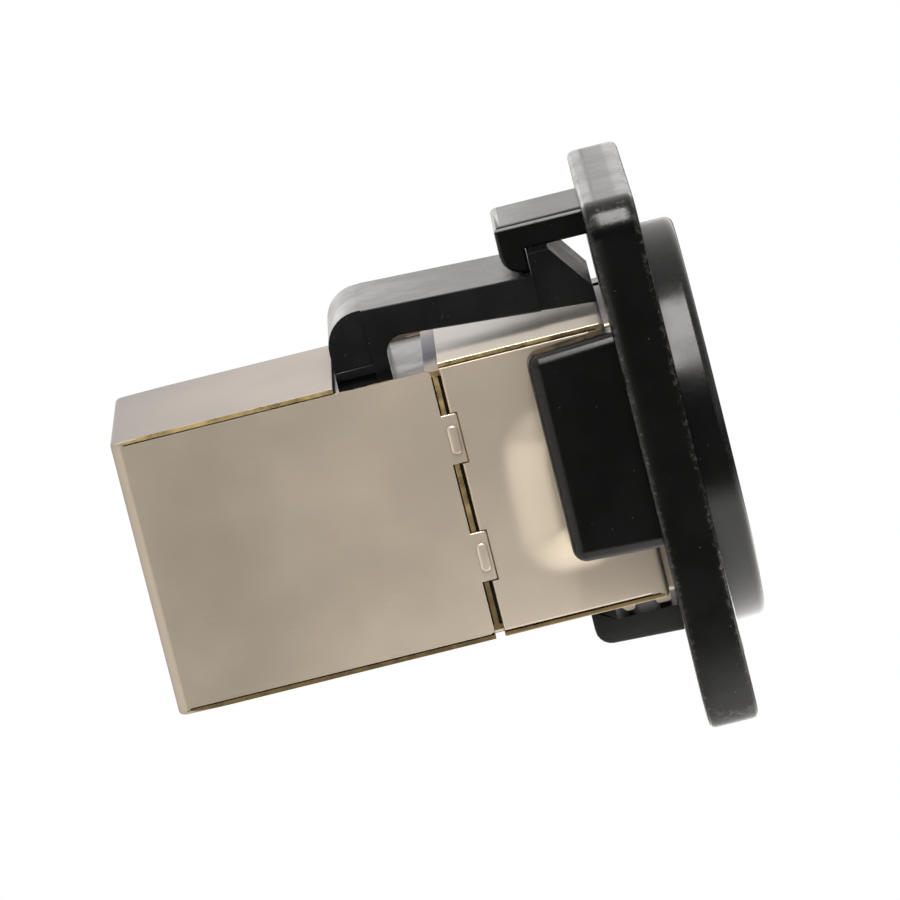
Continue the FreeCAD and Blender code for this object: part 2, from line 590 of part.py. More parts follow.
def latch_housing():
    """Moulded housing: sleeve round both inserts, latch foot, arm and catch."""
    body = new_body("latch_housing")
    length = "sleeve_front + board_thickness + sleeve_rear"
    sleeve = new_sketch(body, "sleeve_outline", "YZ_Plane", BOARD_FRONT + " + sleeve_front")
    centred(sleeve, SLEEVE_WIDTH, "-" + SLEEVE_BOTTOM, SLEEVE_TOP)
    pad(body, sleeve, length, reverse=True)
    bore = new_sketch(body, "sleeve_bore", "YZ_Plane", BOARD_FRONT + " + sleeve_front")
    centred(bore, "(%s + 2 * insert_gap)" % INSERT_WIDTH, "-(%s + insert_gap)" % INSERT_HALF,
            "(%s + insert_gap)" % INSERT_HALF)
    pocket(body, bore, length)

    side = new_sketch(body, "latch_side", "XZ_Plane")
    arm_front = PLATE_REAR + " - latch_front_gap"
    catch_rear = PLATE_REAR + " - hook_reach + hook_nose_width + latch_catch_gap"
    root = SLEEVE_TOP + " - latch_root"
    under_rear = ARM_TOP_REAR + " - latch_thickness"
    ramp_foot = ARM_UNDER_FRONT + " + latch_lip"
    polygon(side, [(FOOT_REAR, root), (FOOT_REAR, ARM_TOP_REAR), (catch_rear, ARM_TOP_FRONT),
                   (arm_front, ramp_foot), (arm_front, ARM_UNDER_FRONT),
                   (FOOT_FRONT, under_rear), (FOOT_FRONT, root)])
    pad(body, side, "latch_width", middle=True)
    heel = value(FOOT_REAR)
    crown = value(ARM_TOP_REAR)
    throat = value(under_rear)
    front_of_foot = value(FOOT_FRONT)
    round_edges(body, "latch_heel", "latch_bend",
                lambda at, span: near(at.x, heel) and near(at.z, crown) and span.y > 1)
    round_edges(body, "latch_throat", "latch_inner_bend",
                lambda at, span: near(at.x, front_of_foot) and near(at.z, throat) and span.y > 1)

    trim = new_sketch(body, "catch_trim", "XY_Plane", ARM_UNDER_FRONT + " - overcut")
    for sign in ("", "-"):
        edges = sorted((sign + "(latch_width / 2 - latch_catch_step)",
                        sign + "(latch_width / 2 + overcut)"), key=value)
        rectangle(trim, catch_rear, arm_front + " + overcut", edges[0], edges[1])
    pocket(body, trim, CATCH_TOP, reverse=True)
    catch = new_sketch(body, "catch_side", "XZ_Plane")
    polygon(catch, [(catch_rear, ARM_TOP_FRONT + " - latch_root"), (catch_rear, CATCH_TOP),
                    (catch_rear + " + latch_catch_flat", CATCH_TOP),
                    (arm_front, ramp_foot), (arm_front, ramp_foot + " - latch_root")])
    pad(body, catch, "latch_width - 2 * latch_catch_step", middle=True)

    ledge_top = SHELL_TOP + " + ledge_rise"
    panel_front = FOOT_REAR + " + latch_panel"
    for number, side_sign in enumerate(("-1", "1"), 1):
        recess = new_sketch(body, "foot_recess_%d" % number, "XZ_Plane",
                            side_sign + " * (latch_width / 2 + overcut)")
        rectangle(recess, FOOT_REAR + " - overcut", panel_front,
                  ledge_top, ARM_TOP_REAR + " + overcut")
        rectangle(recess, FOOT_REAR + " - overcut", panel_front,
                  SLEEVE_TOP + " + sleeve_gap", ledge_top + " - ledge_height")
        pocket(body, recess, "latch_recess + overcut", reverse=side_sign == "-1")
    return body


def turned(body):
    """Turns a piece of the front set over, end for end, into the rear set."""
    body.Placement.Rotation = FreeCAD.Rotation(FreeCAD.Vector(0, 1, 0), 180)
    body.setExpression("Placement.Base.x", bound("2 * " + MIDDLE))


def repeat_across(body, feature, name):
    """Repeats a cut at the contact pitch, to both sides of the first."""
    pattern = body.newObject("PartDesign::LinearPattern", name)
    pattern.Originals = [feature]
    pattern.Direction = (plane(body, "Y_Axis"), [""])
    pattern.setExpression("Length", bound("%d * contact_pitch" % (CONTACTS - 1)))
    pattern.Occurrences = CONTACTS
    body.Tip = pattern
    doc.recompute()
    return pattern


FIRST_CONTACT = "(-%s * contact_pitch)" % ((CONTACTS - 1) / 2)


def socket_insert(label):
    """Moulded socket: rim, body, plug cavity and a slot for each contact."""
    body = new_body(label)
    block = new_sketch(body, label + "_block", "YZ_Plane", INSERT_FACE)
    centred(block, INSERT_WIDTH, "-" + INSERT_HALF, INSERT_HALF)
    pad(body, block, "%s - %s" % (INSERT_FACE, INSERT_REAR), reverse=True)
    rim = new_sketch(body, label + "_rim", "YZ_Plane", INSERT_FACE)
    centred(rim, INSERT_WIDTH, "-" + BEZEL_HALF, BEZEL_HALF)
    pad(body, rim, "bezel_thickness", reverse=True)
    cavity = new_sketch(body, label + "_cavity", "YZ_Plane", INSERT_FACE)
    port_outline(cavity)
    pocket(body, cavity, "%s - %s - socket_back" % (INSERT_FACE, INSERT_REAR))
    slot = new_sketch(body, label + "_slot", "XZ_Plane",
                      "-%s - contact_width / 2 - contact_play" % FIRST_CONTACT)
    rectangle(slot, INSERT_REAR + " - overcut",
              "%s - contact_front + contact_play" % INSERT_FACE, "port_top - overcut",
              CONTACT_LEVEL + " + contact_thickness / 2 + contact_play")
    cut = pocket(body, slot, "contact_width + 2 * contact_play", reverse=True)
    repeat_across(body, cut, label + "_slots")
    return body


def contact_comb(label):
    """Comb that holds the eight contacts between insert and board."""
    body = new_body(label)
    block = new_sketch(body, label + "_block", "YZ_Plane", COMB_REAR)
    centred(block, "(%s - 2 * comb_inset)" % INSERT_WIDTH, CONTACT_LEVEL + " - comb_below",
            INSERT_HALF)
    pad(body, block, "comb_length")
    slot = new_sketch(body, label + "_slot", "XZ_Plane",
                      "-%s - contact_width / 2 - contact_play" % FIRST_CONTACT)
    half = "(contact_thickness / 2 + contact_play)"
    rectangle(slot, COMB_REAR + " - overcut", COMB_REAR + " + comb_length + overcut",
              "%s - %s" % (CONTACT_LEVEL, half), "%s + %s" % (CONTACT_LEVEL, half))
    cut = pocket(body, slot, "contact_width + 2 * contact_play", reverse=True)
    repeat_across(body, cut, label + "_slots")
    return body


def contact(label, number):
    """One contact: tail through the board, straight run, nose and sprung arm."""
    body = new_body(label)
    side = new_sketch(body, label + "_side", "XZ_Plane")
    tail = "(%s - board_thickness - contact_tail)" % BOARD_FRONT
    nose = "(%s - contact_front)" % INSERT_FACE
    tip = "(%s - contact_tip)" % INSERT_FACE
    upper = "(%s + contact_thickness / 2)" % CONTACT_LEVEL
    lower = "(%s - contact_thickness / 2)" % CONTACT_LEVEL
    slope = "((contact_drop - contact_bend) / (contact_tip - contact_front))"
    rise = "contact_thickness * sqrt(1 + %s ^ 2)" % slope
    inside = "%s - contact_thickness" % nose
    polygon(side, [(tail, lower), (tail, upper), (nose, upper), (nose, upper + " - contact_bend"),
                   (tip, upper + " - contact_drop"), (tip, upper + " - contact_drop + " + rise),
                   (inside, "%s - contact_bend - contact_thickness * %s + %s" % (upper, slope, rise)),
                   (inside, lower)])
    pad(body, side, "contact_width", middle=True)
    front = value(nose)
    round_edges(body, label + "_nose", "contact_thickness",
                lambda at, span: near(at.x, front) and span.y > 0.1)
    place = "(%d - %s) * contact_pitch" % (number, (CONTACTS + 1) / 2)
    body.setExpression("Placement.Base.y", bound(place))
    return body


def circuit_board():
    """Board between the two sets, with a row of holes for each."""
    body = new_body("circuit_board")
    board = new_sketch(body, "board_outline", "YZ_Plane", BOARD_FRONT)
    centred(board, "(%s + 2 * insert_gap - 2 * board_play)" % INSERT_WIDTH,
            "-(%s + insert_gap - board_play)" % INSERT_HALF,
            "(%s + insert_gap - board_play)" % INSERT_HALF)
    pad(body, board, "board_thickness", reverse=True)
    holes = new_sketch(body, "board_holes", "YZ_Plane", BOARD_FRONT)
    circle(holes, FIRST_CONTACT, CONTACT_LEVEL, "board_hole")
    circle(holes, FIRST_CONTACT, "-" + CONTACT_LEVEL, "board_hole")
    cut = pocket(body, holes, "board_thickness")
    repeat_across(body, cut, "board_hole_rows")
    return body


def build():
    pieces = [flange_frame(), front_shell(), rear_shell(), latch_housing(), circuit_board()]
    for end in ("front", "rear"):
        group = [socket_insert(end + "_socket"), contact_comb(end + "_comb")]
        for number in range(1, CONTACTS + 1):
            group.append(contact("%s_contact_%d" % (end, number), number))
        if end == "rear":
            for piece in group:
                turned(piece)
        pieces += group
    return pieces


def check(pieces):
    """Stops on any failed object or bad solid, before a file is written."""
    doc.recompute()
    for thing in doc.Objects:
        if "Invalid" in thing.State or "Error" in thing.State:
            raise RuntimeError("%s failed" % thing.Label)
    for piece in pieces:
        if piece.Shape.isNull() or not piece.Shape.isValid() or not piece.Shape.Solids:
            raise RuntimeError("%s has no good solid" % piece.Label)


def write(pieces):
    os.makedirs("parts", exist_ok=True)
    for piece in pieces:
        piece.Shape.exportStep("parts/%s.step" % piece.Label)
        print(piece.Label, len(piece.Shape.Solids), round(piece.Shape.Volume, 3))


parts = build()
check(parts)
write(parts)
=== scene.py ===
import math
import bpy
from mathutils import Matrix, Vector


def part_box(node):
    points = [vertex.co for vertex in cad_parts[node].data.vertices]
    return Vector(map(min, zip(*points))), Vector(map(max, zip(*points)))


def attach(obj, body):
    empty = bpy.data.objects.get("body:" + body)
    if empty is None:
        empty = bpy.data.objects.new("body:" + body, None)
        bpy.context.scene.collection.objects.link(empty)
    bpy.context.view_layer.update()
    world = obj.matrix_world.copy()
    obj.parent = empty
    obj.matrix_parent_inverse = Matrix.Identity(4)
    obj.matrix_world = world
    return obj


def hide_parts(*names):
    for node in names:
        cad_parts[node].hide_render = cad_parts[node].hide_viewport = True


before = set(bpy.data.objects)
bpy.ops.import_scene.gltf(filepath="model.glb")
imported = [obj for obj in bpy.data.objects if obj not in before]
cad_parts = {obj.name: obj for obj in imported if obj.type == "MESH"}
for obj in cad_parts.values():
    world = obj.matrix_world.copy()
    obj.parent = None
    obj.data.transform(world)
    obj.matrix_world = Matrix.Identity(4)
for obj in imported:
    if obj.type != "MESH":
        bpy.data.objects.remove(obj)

import types

import bmesh
import bpy
from mathutils import Matrix, Vector, noise

bl_info = {
    "name": "Panel network coupler",
    "version": (1, 0, 0),
    "blender": (4, 5, 0),
    "location": "3D View > Sidebar > Coupler",
    "description": "Builds a shielded network coupler with its panel flange and a white studio",
    "category": "Add Mesh",
}

MM = 0.001
SIDES = (-1, 1)
WHITE = (1.0, 1.0, 1.0, 1.0)
HALF_WIDTH = 8.025    # half the shells' width over their sides
SHELL_GAP = 0.55      # between the sides of the front and the rear shell
ARM_TIP = 9.87        # height of the latch arm's front end above the axis


# Node building

def link(tree, source, target):
    tree.links.new(source, target)


def feed(tree, socket, item):
    """Links an output to a socket, or sets a plain value there."""
    if isinstance(item, bpy.types.NodeSocket):
        link(tree, item, socket)
    else:
        socket.default_value = item


def add_node(tree, kind, **settings):
    """A node with its settings; a name of one of its inputs feeds that socket."""
    node = tree.nodes.new(kind)
    for name, setting in settings.items():
        title = name.replace("_", " ")
        if title in node.inputs:
            feed(tree, node.inputs[title], setting)
        else:
            setattr(node, name, setting)
    return node


def math_node(tree, operation, *items):
    node = add_node(tree, "ShaderNodeMath", operation=operation)
    for socket, item in zip(node.inputs, items):
        feed(tree, socket, item)
    return node.outputs[0]


def ramp_between(tree, source, low, high, start=0.0, stop=1.0):
    """Smooth step of a value from low to high, onto start to stop."""
    node = add_node(tree, "ShaderNodeMapRange", interpolation_type="SMOOTHSTEP", Value=source,
                    From_Min=low, From_Max=high, To_Min=start, To_Max=stop)
    return node.outputs["Result"]


def mix_colour(tree, factor, first, second):
    node = add_node(tree, "ShaderNodeMix", data_type="RGBA")
    for number, item in ((0, factor), (6, first), (7, second)):
        feed(tree, node.inputs[number], item)
    return node.outputs[2]


def axes(tree, vector):
    """X, Y and Z of a vector."""
    return add_node(tree, "ShaderNodeSeparateXYZ", Vector=vector).outputs


def object_place(tree, scale=(1.0, 1.0, 1.0)):
    """Object coordinates in millimetres, stretched by scale."""
    place = add_node(tree, "ShaderNodeTexCoord")
    mapping = add_node(tree, "ShaderNodeMapping", Vector=place.outputs["Object"],
                       Scale=[part / MM for part in scale])
    return mapping.outputs["Vector"]


def noise_value(tree, vector, scale, detail, roughness):
    node = add_node(tree, "ShaderNodeTexNoise", Vector=vector, Scale=scale, Detail=detail,
                    Roughness=roughness)
    return node.outputs["Fac"]


def start_group(name, inputs, outputs):
    """A node group with named inputs (name, default) and named outputs."""
    group = bpy.data.node_groups.new(name, "ShaderNodeTree")
    for title, default in inputs:
        socket = group.interface.new_socket(title, in_out="INPUT", socket_type="NodeSocketFloat")
        socket.default_value = default
    for title in outputs:
        group.interface.new_socket(title, in_out="OUTPUT", socket_type="NodeSocketFloat")
    given, result = group.nodes.new("NodeGroupInput"), group.nodes.new("NodeGroupOutput")
    return group, given.outputs, result.inputs


def grain_group():
    """Fine grain: a roughness that wanders, a height for the bump and a soft cloud."""
    group, given, result = start_group(
        "fine_grain",
        [("Grain per mm", 8.0), ("Cloud per mm", 0.25), ("Smooth", 0.3), ("Coarse", 0.4)],
        ["Roughness", "Height", "Cloud"])
    place = object_place(group)
    fine = noise_value(group, place, given["Grain per mm"], 4.0, 0.6)
    cloud = noise_value(group, place, given["Cloud per mm"], 3.0, 0.55)
    soft = ramp_between(group, cloud, 0.32, 0.68)
    mixed = math_node(group, "MULTIPLY_ADD", fine, 0.35, math_node(group, "MULTIPLY", soft, 0.65))
    rough = ramp_between(group, mixed, 0.1, 0.9, given["Smooth"], given["Coarse"])
    link(group, rough, result["Roughness"])
    link(group, fine, result["Height"])
    link(group, soft, result["Cloud"])
    return group


def wear_group():
    """Wear: a mask along worn edges, from the mesh's own edge attribute, and rare chips."""
    group, given, result = start_group(
        "edge_wear", [("Spots per mm", 1.2), ("Start", 0.5), ("Stop", 0.7)], ["Worn", "Chips"])
    edge = add_node(group, "ShaderNodeAttribute", attribute_name="edge").outputs["Fac"]
    spots = noise_value(group, object_place(group), given["Spots per mm"], 5.0, 0.65)
    chosen = ramp_between(group, spots, given["Start"], given["Stop"])
    rim = 0.02    # how softly a chip ends
    tight = ramp_between(group, spots, math_node(group, "ADD", given["Stop"], -rim),
                         math_node(group, "ADD", given["Stop"], rim))
    link(group, math_node(group, "MULTIPLY", edge, chosen), result["Worn"])
    link(group, math_node(group, "MULTIPLY", edge, tight), result["Chips"])
    return group


def speck_group():
    """Dust and pits: small round marks in a share of the cells."""
    group, given, result = start_group(
        "specks", [("Specks per mm", 2.5), ("Size", 0.12), ("Share", 0.5)], ["Specks"])
    cells = add_node(group, "ShaderNodeTexVoronoi", feature="F1", Vector=object_place(group),
                     Scale=given["Specks per mm"])
    dots = ramp_between(group, cells.outputs["Distance"], given["Size"], 0.0)
    tones = add_node(group, "ShaderNodeSeparateColor", Color=cells.outputs["Color"])
    speck_cells_and_lit_strip = math_node(group, "LESS_THAN", tones.outputs["Red"], given["Share"])
    link(group, math_node(group, "MULTIPLY", dots, speck_cells_and_lit_strip), result["Specks"])
    return group


GROUPS = {"fine_grain": grain_group, "edge_wear": wear_group, "specks": speck_group}


def use_group(tree, name, **settings):
    """Outputs of one of the shared groups, which is built on first use."""
    group = bpy.data.node_groups.get(name) or GROUPS[name]()
    return add_node(tree, "ShaderNodeGroup", node_tree=group, **settings).outputs


def use_grain(tree, grain_size, cloud_size, smooth, coarse):
    return use_group(tree, "fine_grain", Grain_per_mm=grain_size, Cloud_per_mm=cloud_size,
                     Smooth=smooth, Coarse=coarse)


# Materials

def start_material(name, metallic=0.0, specular=0.5):
    material = bpy.data.materials.new(name)
    material.use_nodes = True
    tree = material.node_tree
    shader = tree.nodes["Principled BSDF"]
    for title, value in (("Metallic", metallic), ("Specular IOR Level", specular), ("IOR", 1.5)):
        shader.inputs[title].default_value = value
    return material, tree, shader


def dress(tree, shader, base, roughness, height, strength, depth=0.01):
    """Gives the shader its colour, its roughness and a bump with a depth in millimetres."""
    bump = add_node(tree, "ShaderNodeBump", Strength=strength, Distance=depth * MM, Height=height)
    for title, source in (("Base Color", base), ("Roughness", roughness),
                          ("Normal", bump.outputs["Normal"])):
        link(tree, source, shader.inputs[title])


def between(tree, factor, dark, light):
    """A tone between two of the finish's colours."""
    return mix_colour(tree, factor, colour(dark), colour(light))


def colour(values):
    return (*values, 1.0)


def paint_material(finish):
    """Gloss black paint on a die casting, rubbed through to bare metal on its rims."""
    material, tree, shader = start_material("flange_paint", specular=0.2)
    grain = use_grain(tree, 3.0, 0.3, 0.17, 0.24)
    wear = use_group(tree, "edge_wear", Spots_per_mm=3.2, Start=0.46, Stop=0.74)
    specks = use_group(tree, "specks", Specks_per_mm=1.6, Size=0.08, Share=0.5)["Specks"]
    base = between(tree, grain["Cloud"], finish.paint_dark, finish.paint_light)
    rubbed_paint_and_bump_highlight = mix_colour(tree, wear["Worn"], base, colour(finish.paint_worn))
    bare = mix_colour(tree, wear["Chips"], rubbed_paint_and_bump_highlight, colour(finish.casting_bare))
    dusty = mix_colour(tree, math_node(tree, "MULTIPLY", specks, 0.6), bare,
                       colour(finish.dust_on_paint))
    link(tree, math_node(tree, "MULTIPLY", wear["Chips"], 0.9), shader.inputs["Metallic"])
    rough = math_node(tree, "MULTIPLY_ADD", wear["Worn"], 0.2, grain["Roughness"])
    height = math_node(tree, "MULTIPLY_ADD", specks, 0.6, grain["Height"])
    dress(tree, shader, dusty, rough, height, 0.12, 0.02)
    return material


def nickel_material(finish):
    """Satin nickel on rolled sheet: fine drawn lines along X and soft clouds, with painted light:
    lighter towards the front, a painted highlight on the bump and painted brightening under the
    latch arm.
    """
    material, tree, shader = start_material("satin_nickel", metallic=0.65, specular=0.0)
    grain = use_grain(tree, 6.0, 0.1, 0.3, 0.36)
    drawn = noise_value(tree, object_place(tree, (0.5, 6.0, 12.0)), 1.0, 3.0, 0.6)
    along = axes(tree, object_place(tree))
    # Painted light: the sheet darkens towards the rear and brightens towards the front along X.
    length = ramp_between(tree, along["X"], -34.0, -11.0)
    cloud = math_node(tree, "MULTIPLY_ADD", grain["Cloud"], 0.25,
                      math_node(tree, "MULTIPLY", drawn, 0.15))
    tone = math_node(tree, "MULTIPLY_ADD", length, 0.8, cloud)
    sheet = between(tree, tone, finish.nickel_dark, finish.nickel_light)
    # Painted highlight on the bump, read from the mesh's own attribute.
    rubbed_paint_and_bump_highlight = add_node(tree, "ShaderNodeAttribute", attribute_name="rubbed_paint_and_bump_highlight").outputs["Fac"]
    with_bump_highlight = mix_colour(tree, rubbed_paint_and_bump_highlight, sheet, colour(finish.nickel_bump_highlight))
    # Painted light: the front cover's top under the latch arm lies in the arm's shadow, so it gets
    # a brighter base colour and a whiter reflection tint; its roughness is also lowered there.
    top = ramp_between(tree, along["Z"], 8.188, 8.199)
    front = ramp_between(tree, along["X"], -13.8, -13.4)
    speck_cells_and_lit_strip = math_node(tree, "MULTIPLY", top, front)
    base = mix_colour(tree, speck_cells_and_lit_strip, with_bump_highlight, colour(finish.nickel_lit_under_arm))
    tint = between(tree, speck_cells_and_lit_strip, finish.nickel_grazing, finish.nickel_lit_under_arm_grazing)
    link(tree, tint, shader.inputs["Specular Tint"])
    rough = math_node(tree, "MULTIPLY_ADD", speck_cells_and_lit_strip, -0.17, grain["Roughness"])
    dress(tree, shader, base, rough, drawn, 0.03)
    return material


def brass_material(finish):
    """Bare brass where the sheet was cut, darker towards the underside."""
    material, tree, shader = start_material("cut_brass", metallic=1.0)
    grain = use_grain(tree, 9.0, 1.2, 0.25, 0.45)
    above = ramp_between(tree, axes(tree, object_place(tree))["Z"], -7.0, 3.0)
    cloud = math_node(tree, "MULTIPLY_ADD", grain["Cloud"], 0.5, 0.5)
    base = between(tree, math_node(tree, "MULTIPLY", above, cloud), finish.brass_dark,
                   finish.brass_light)
    dress(tree, shader, base, grain["Roughness"], grain["Height"], 0.3)
    return material


def plastic_material(name, finish, smooth, coarse, grain_size, strength, specular=0.4):
    """Moulded black plastic with a fine skin and a little dust."""
    material, tree, shader = start_material(name, specular=specular)
    grain = use_grain(tree, grain_size, 0.35, smooth, coarse)
    specks = use_group(tree, "specks", Specks_per_mm=3.2, Size=0.1, Share=0.3)["Specks"]
    base = between(tree, grain["Cloud"], finish.plastic_dark, finish.plastic_light)
    dusty = mix_colour(tree, math_node(tree, "MULTIPLY", specks, 0.7), base,
                       colour(finish.dust_on_plastic))
    height = math_node(tree, "MULTIPLY_ADD", specks, 0.5, grain["Height"])
    dress(tree, shader, dusty, grain["Roughness"], height, strength, 0.02)
    return material


def latch_material(finish):
    return plastic_material("latch_plastic", finish, 0.18, 0.26, 6.0, 0.12, 0.2)


def socket_material(finish):
    return plastic_material("socket_plastic", finish, 0.45, 0.6, 4.0, 0.35)


def gold_material(finish):
    """Thin gold plating, a little duller where the wire was drawn."""
    material, tree, shader = start_material("gold_plating", metallic=1.0)
    grain = use_grain(tree, 10.0, 1.0, 0.16, 0.3)
    base = between(tree, grain["Cloud"], finish.gold_dark, finish.gold_light)
    dress(tree, shader, base, grain["Roughness"], grain["Height"], 0.15)
    return material


def board_material(finish):
    """Green solder mask over a woven board."""
    material, tree, shader = start_material("board_mask")
    grain = use_grain(tree, 5.0, 0.5, 0.3, 0.45)
    weave = add_node(tree, "ShaderNodeTexWave", Scale=1.0, Distortion=0.6,
                     Vector=object_place(tree, (1.0, 3.0, 3.0))).outputs["Fac"]
    base = between(tree, weave, finish.board_dark, finish.board_light)
    dress(tree, shader, base, grain["Roughness"], weave, 0.15, 0.02)
    return material


MAKERS = {
    "flange_paint": paint_material,
    "satin_nickel": nickel_material,
    "cut_brass": brass_material,
    "latch_plastic": latch_material,
    "socket_plastic": socket_material,
    "gold_plating": gold_material,
    "board_mask": board_material,
}


def material(name):
    return bpy.data.materials.get(name) or MAKERS[name](bpy.context.scene.coupler_finish)


# Mesh building, in millimetres. Where a shape cuts or is sunk into another, it reaches
# past the other's face, mostly by 0.5 or 1.0.

def give_finish(corners, finish):
    """Gives a finish to all faces that touch the corners."""
    for face in {face for corner in corners for face in corner.link_faces}:
        face.material_index = finish


def block(bm, low, high, finish=0):
    """A box between two corners."""
    made = bmesh.ops.create_cube(bm, size=1.0)["verts"]
    size = [second - first for first, second in zip(low, high)]
    centre = [(second + first) / 2 for first, second in zip(low, high)]
    bmesh.ops.scale(bm, vec=size, verts=made)
    bmesh.ops.translate(bm, vec=centre, verts=made)
    give_finish(made, finish)


def box_shape(low, high, finish=0):
    bm = bmesh.new()
    block(bm, low, high, finish)
    return bm


def prism(bm, corners, axis, start, stop, finish=0):
    """An outline of (first, second) pairs drawn out along an axis."""
    others = [number for number in range(3) if number != axis]
    ring = []
    for pair in corners:
        place = [0.0, 0.0, 0.0]
        place[others[0]], place[others[1]] = pair
        place[axis] = start
        ring.append(bm.verts.new(place))
    lid = bm.faces.new(ring)
    drawn = bmesh.ops.extrude_face_region(bm, geom=[lid])["geom"]
    moved = [item for item in drawn if isinstance(item, bmesh.types.BMVert)]
    shift = [0.0, 0.0, 0.0]
    shift[axis] = stop - start
    bmesh.ops.translate(bm, vec=shift, verts=moved)
    faces = {face for corner in ring + moved for face in corner.link_faces}
    bmesh.ops.recalc_face_normals(bm, faces=list(faces))
    give_finish(ring + moved, finish)


def rod(bm, centre, radius, start, stop, segments):
    """A round bar along X; centre is its place across and up."""
    made = bmesh.ops.create_cone(bm, cap_ends=True, segments=segments, radius1=radius,
                                 radius2=radius, depth=stop - start)["verts"]
    quarter = Matrix.Rotation(math.radians(90), 3, "Y")
    bmesh.ops.rotate(bm, cent=(0, 0, 0), matrix=quarter, verts=made)
    bmesh.ops.translate(bm, vec=((start + stop) / 2, centre[0], centre[1]), verts=made)


def near(one, other, play=0.004):
    return abs(one - other) < play


def soften(bm, radius, segments, wanted):
    """Bevels the edges whose middle and direction pass the test."""
    chosen = []
    for edge in bm.edges:
        middle = (edge.verts[0].co + edge.verts[1].co) / 2
        span = edge.verts[1].co - edge.verts[0].co
        if len(edge.link_faces) == 2 and edge.calc_face_angle() > 0.15 and wanted(middle, span):
            chosen.append(edge)
    if not chosen:
        raise RuntimeError("no edge to soften")
    bmesh.ops.bevel(bm, geom=chosen, offset=radius, offset_type="OFFSET", segments=segments,
                    profile=0.5, affect="EDGES", clamp_overlap=True, material=-1)


def cut_plane(bm, axis, place, play):
    """Cuts the whole mesh along a plane across an axis, and keeps both halves."""
    point = [place if number == axis else 0.0 for number in range(3)]
    normal = [1.0 if number == axis else 0.0 for number in range(3)]
    bmesh.ops.bisect_plane(bm, geom=bm.verts[:] + bm.edges[:] + bm.faces[:], dist=play,
                           plane_co=point, plane_no=normal)


def slice_up(bm, axis, start, stop, step):
    """Cuts the whole mesh into strips across an axis."""
    count = int((stop - start) / step)
    for number in range(1, count):
        cut_plane(bm, axis, start + (stop - start) * number / count, 1e-5)


def loose_object(bm, name="shape"):
    """A passing object for the Boolean steps."""
    mesh = bpy.data.meshes.new(name)
    bm.to_mesh(mesh)
    bm.free()
    shape = bpy.data.objects.new(name, mesh)
    bpy.context.scene.collection.objects.link(shape)
    return shape


def combine(base, steps):
    """Adds and cuts closed meshes one after another: steps of (operation, bmesh)."""
    shape = loose_object(base)
    tools = []
    for operation, bm in steps:
        tool = loose_object(bm)
        tools.append(tool)
        step = shape.modifiers.new(operation, "BOOLEAN")
        step.operation = operation
        step.solver = "EXACT"
        step.material_mode = "INDEX"
        step.object = tool
    graph = bpy.context.evaluated_depsgraph_get()
    mesh = bpy.data.meshes.new_from_object(shape.evaluated_get(graph))
    result = bmesh.new()
    result.from_mesh(mesh)
    bpy.data.meshes.remove(mesh)
    for thing in [shape] + tools:
        old = thing.data
        bpy.data.objects.remove(thing)
        bpy.data.meshes.remove(old)
    bmesh.ops.remove_doubles(result, verts=result.verts, dist=0.002)
    bmesh.ops.dissolve_degenerate(result, edges=result.edges, dist=0.001)
    return result


def joined(*parts):
    """One bmesh that holds several closed shapes."""
    bm = bmesh.new()
    for part in parts:
        mesh = bpy.data.meshes.new("part")
        part.to_mesh(mesh)
        part.free()
        bm.from_mesh(mesh)
        bpy.data.meshes.remove(mesh)
    return bm


def mark_edges(bm, wear):
    """Stores how far each vertex is turned off the main planes, times the wear at its place."""
    sharp = 0.3                 # bend in radians from which an inner corner counts
    least, full = 0.03, 0.11    # turn where wear begins, and where it is whole
    layer = bm.verts.layers.float.new("edge")
    bm.normal_update()
    for corner in bm.verts:
        turned = 1.0 - max(abs(part) for part in corner.normal)
        if any(len(edge.link_faces) == 2 and not edge.is_convex and edge.calc_face_angle() > sharp
               for edge in corner.link_edges):
            turned = 0.0
        corner[layer] = wear(corner.co) * min(1.0, max(0.0, (turned - least) / (full - least)))


def finish_piece(name, bm, finishes, nodes, wear=lambda at: 1.0):
    """Makes the mesh a piece that stands for its nodes and rides on the coupler."""
    open_edges = sum(1 for edge in bm.edges if not edge.is_manifold)
    print(name, "faces", len(bm.faces), "open edges", open_edges)
    mark_edges(bm, wear)
    bmesh.ops.scale(bm, vec=(MM, MM, MM), verts=bm.verts)
    mesh = bpy.data.meshes.new(name)
    bm.to_mesh(mesh)
    bm.free()
    for finish in finishes:
        mesh.materials.append(material(finish))
    mesh.shade_smooth()
    mesh.set_sharp_from_angle(angle=math.radians(28.0))
    piece = bpy.data.objects.new(name, mesh)
    bpy.context.scene.collection.objects.link(piece)
    even = piece.modifiers.new("even_normals", "WEIGHTED_NORMAL")
    even.keep_sharp = True
    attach(piece, "root")
    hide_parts(*nodes)


def in_mm(group):
    """The group's sizes as millimetres, by name."""
    sizes = types.SimpleNamespace()
    for name, kind in group.bl_rna.properties.items():
        if name not in ("rna_type", "name"):
            unit = MM if kind.unit == "LENGTH" else 1.0
            setattr(sizes, name, getattr(group, name) / unit)
    return sizes


def corners_mm(node):
    """Lowest and highest corner of a node's box."""
    low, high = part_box(node)
    return [part / MM for part in low], [part / MM for part in high]


# Properties

def colour_property(title, description, default):
    return bpy.props.FloatVectorProperty(name=title, description=description, subtype="COLOR",
                                         size=3, min=0.0, max=1.0, default=default)


def length_property(title, description, default):
    """A length in metres, given here in millimetres."""
    return bpy.props.FloatProperty(name=title, description=description, unit="LENGTH",
                                   subtype="DISTANCE", min=0.0, precision=5, default=default * MM)


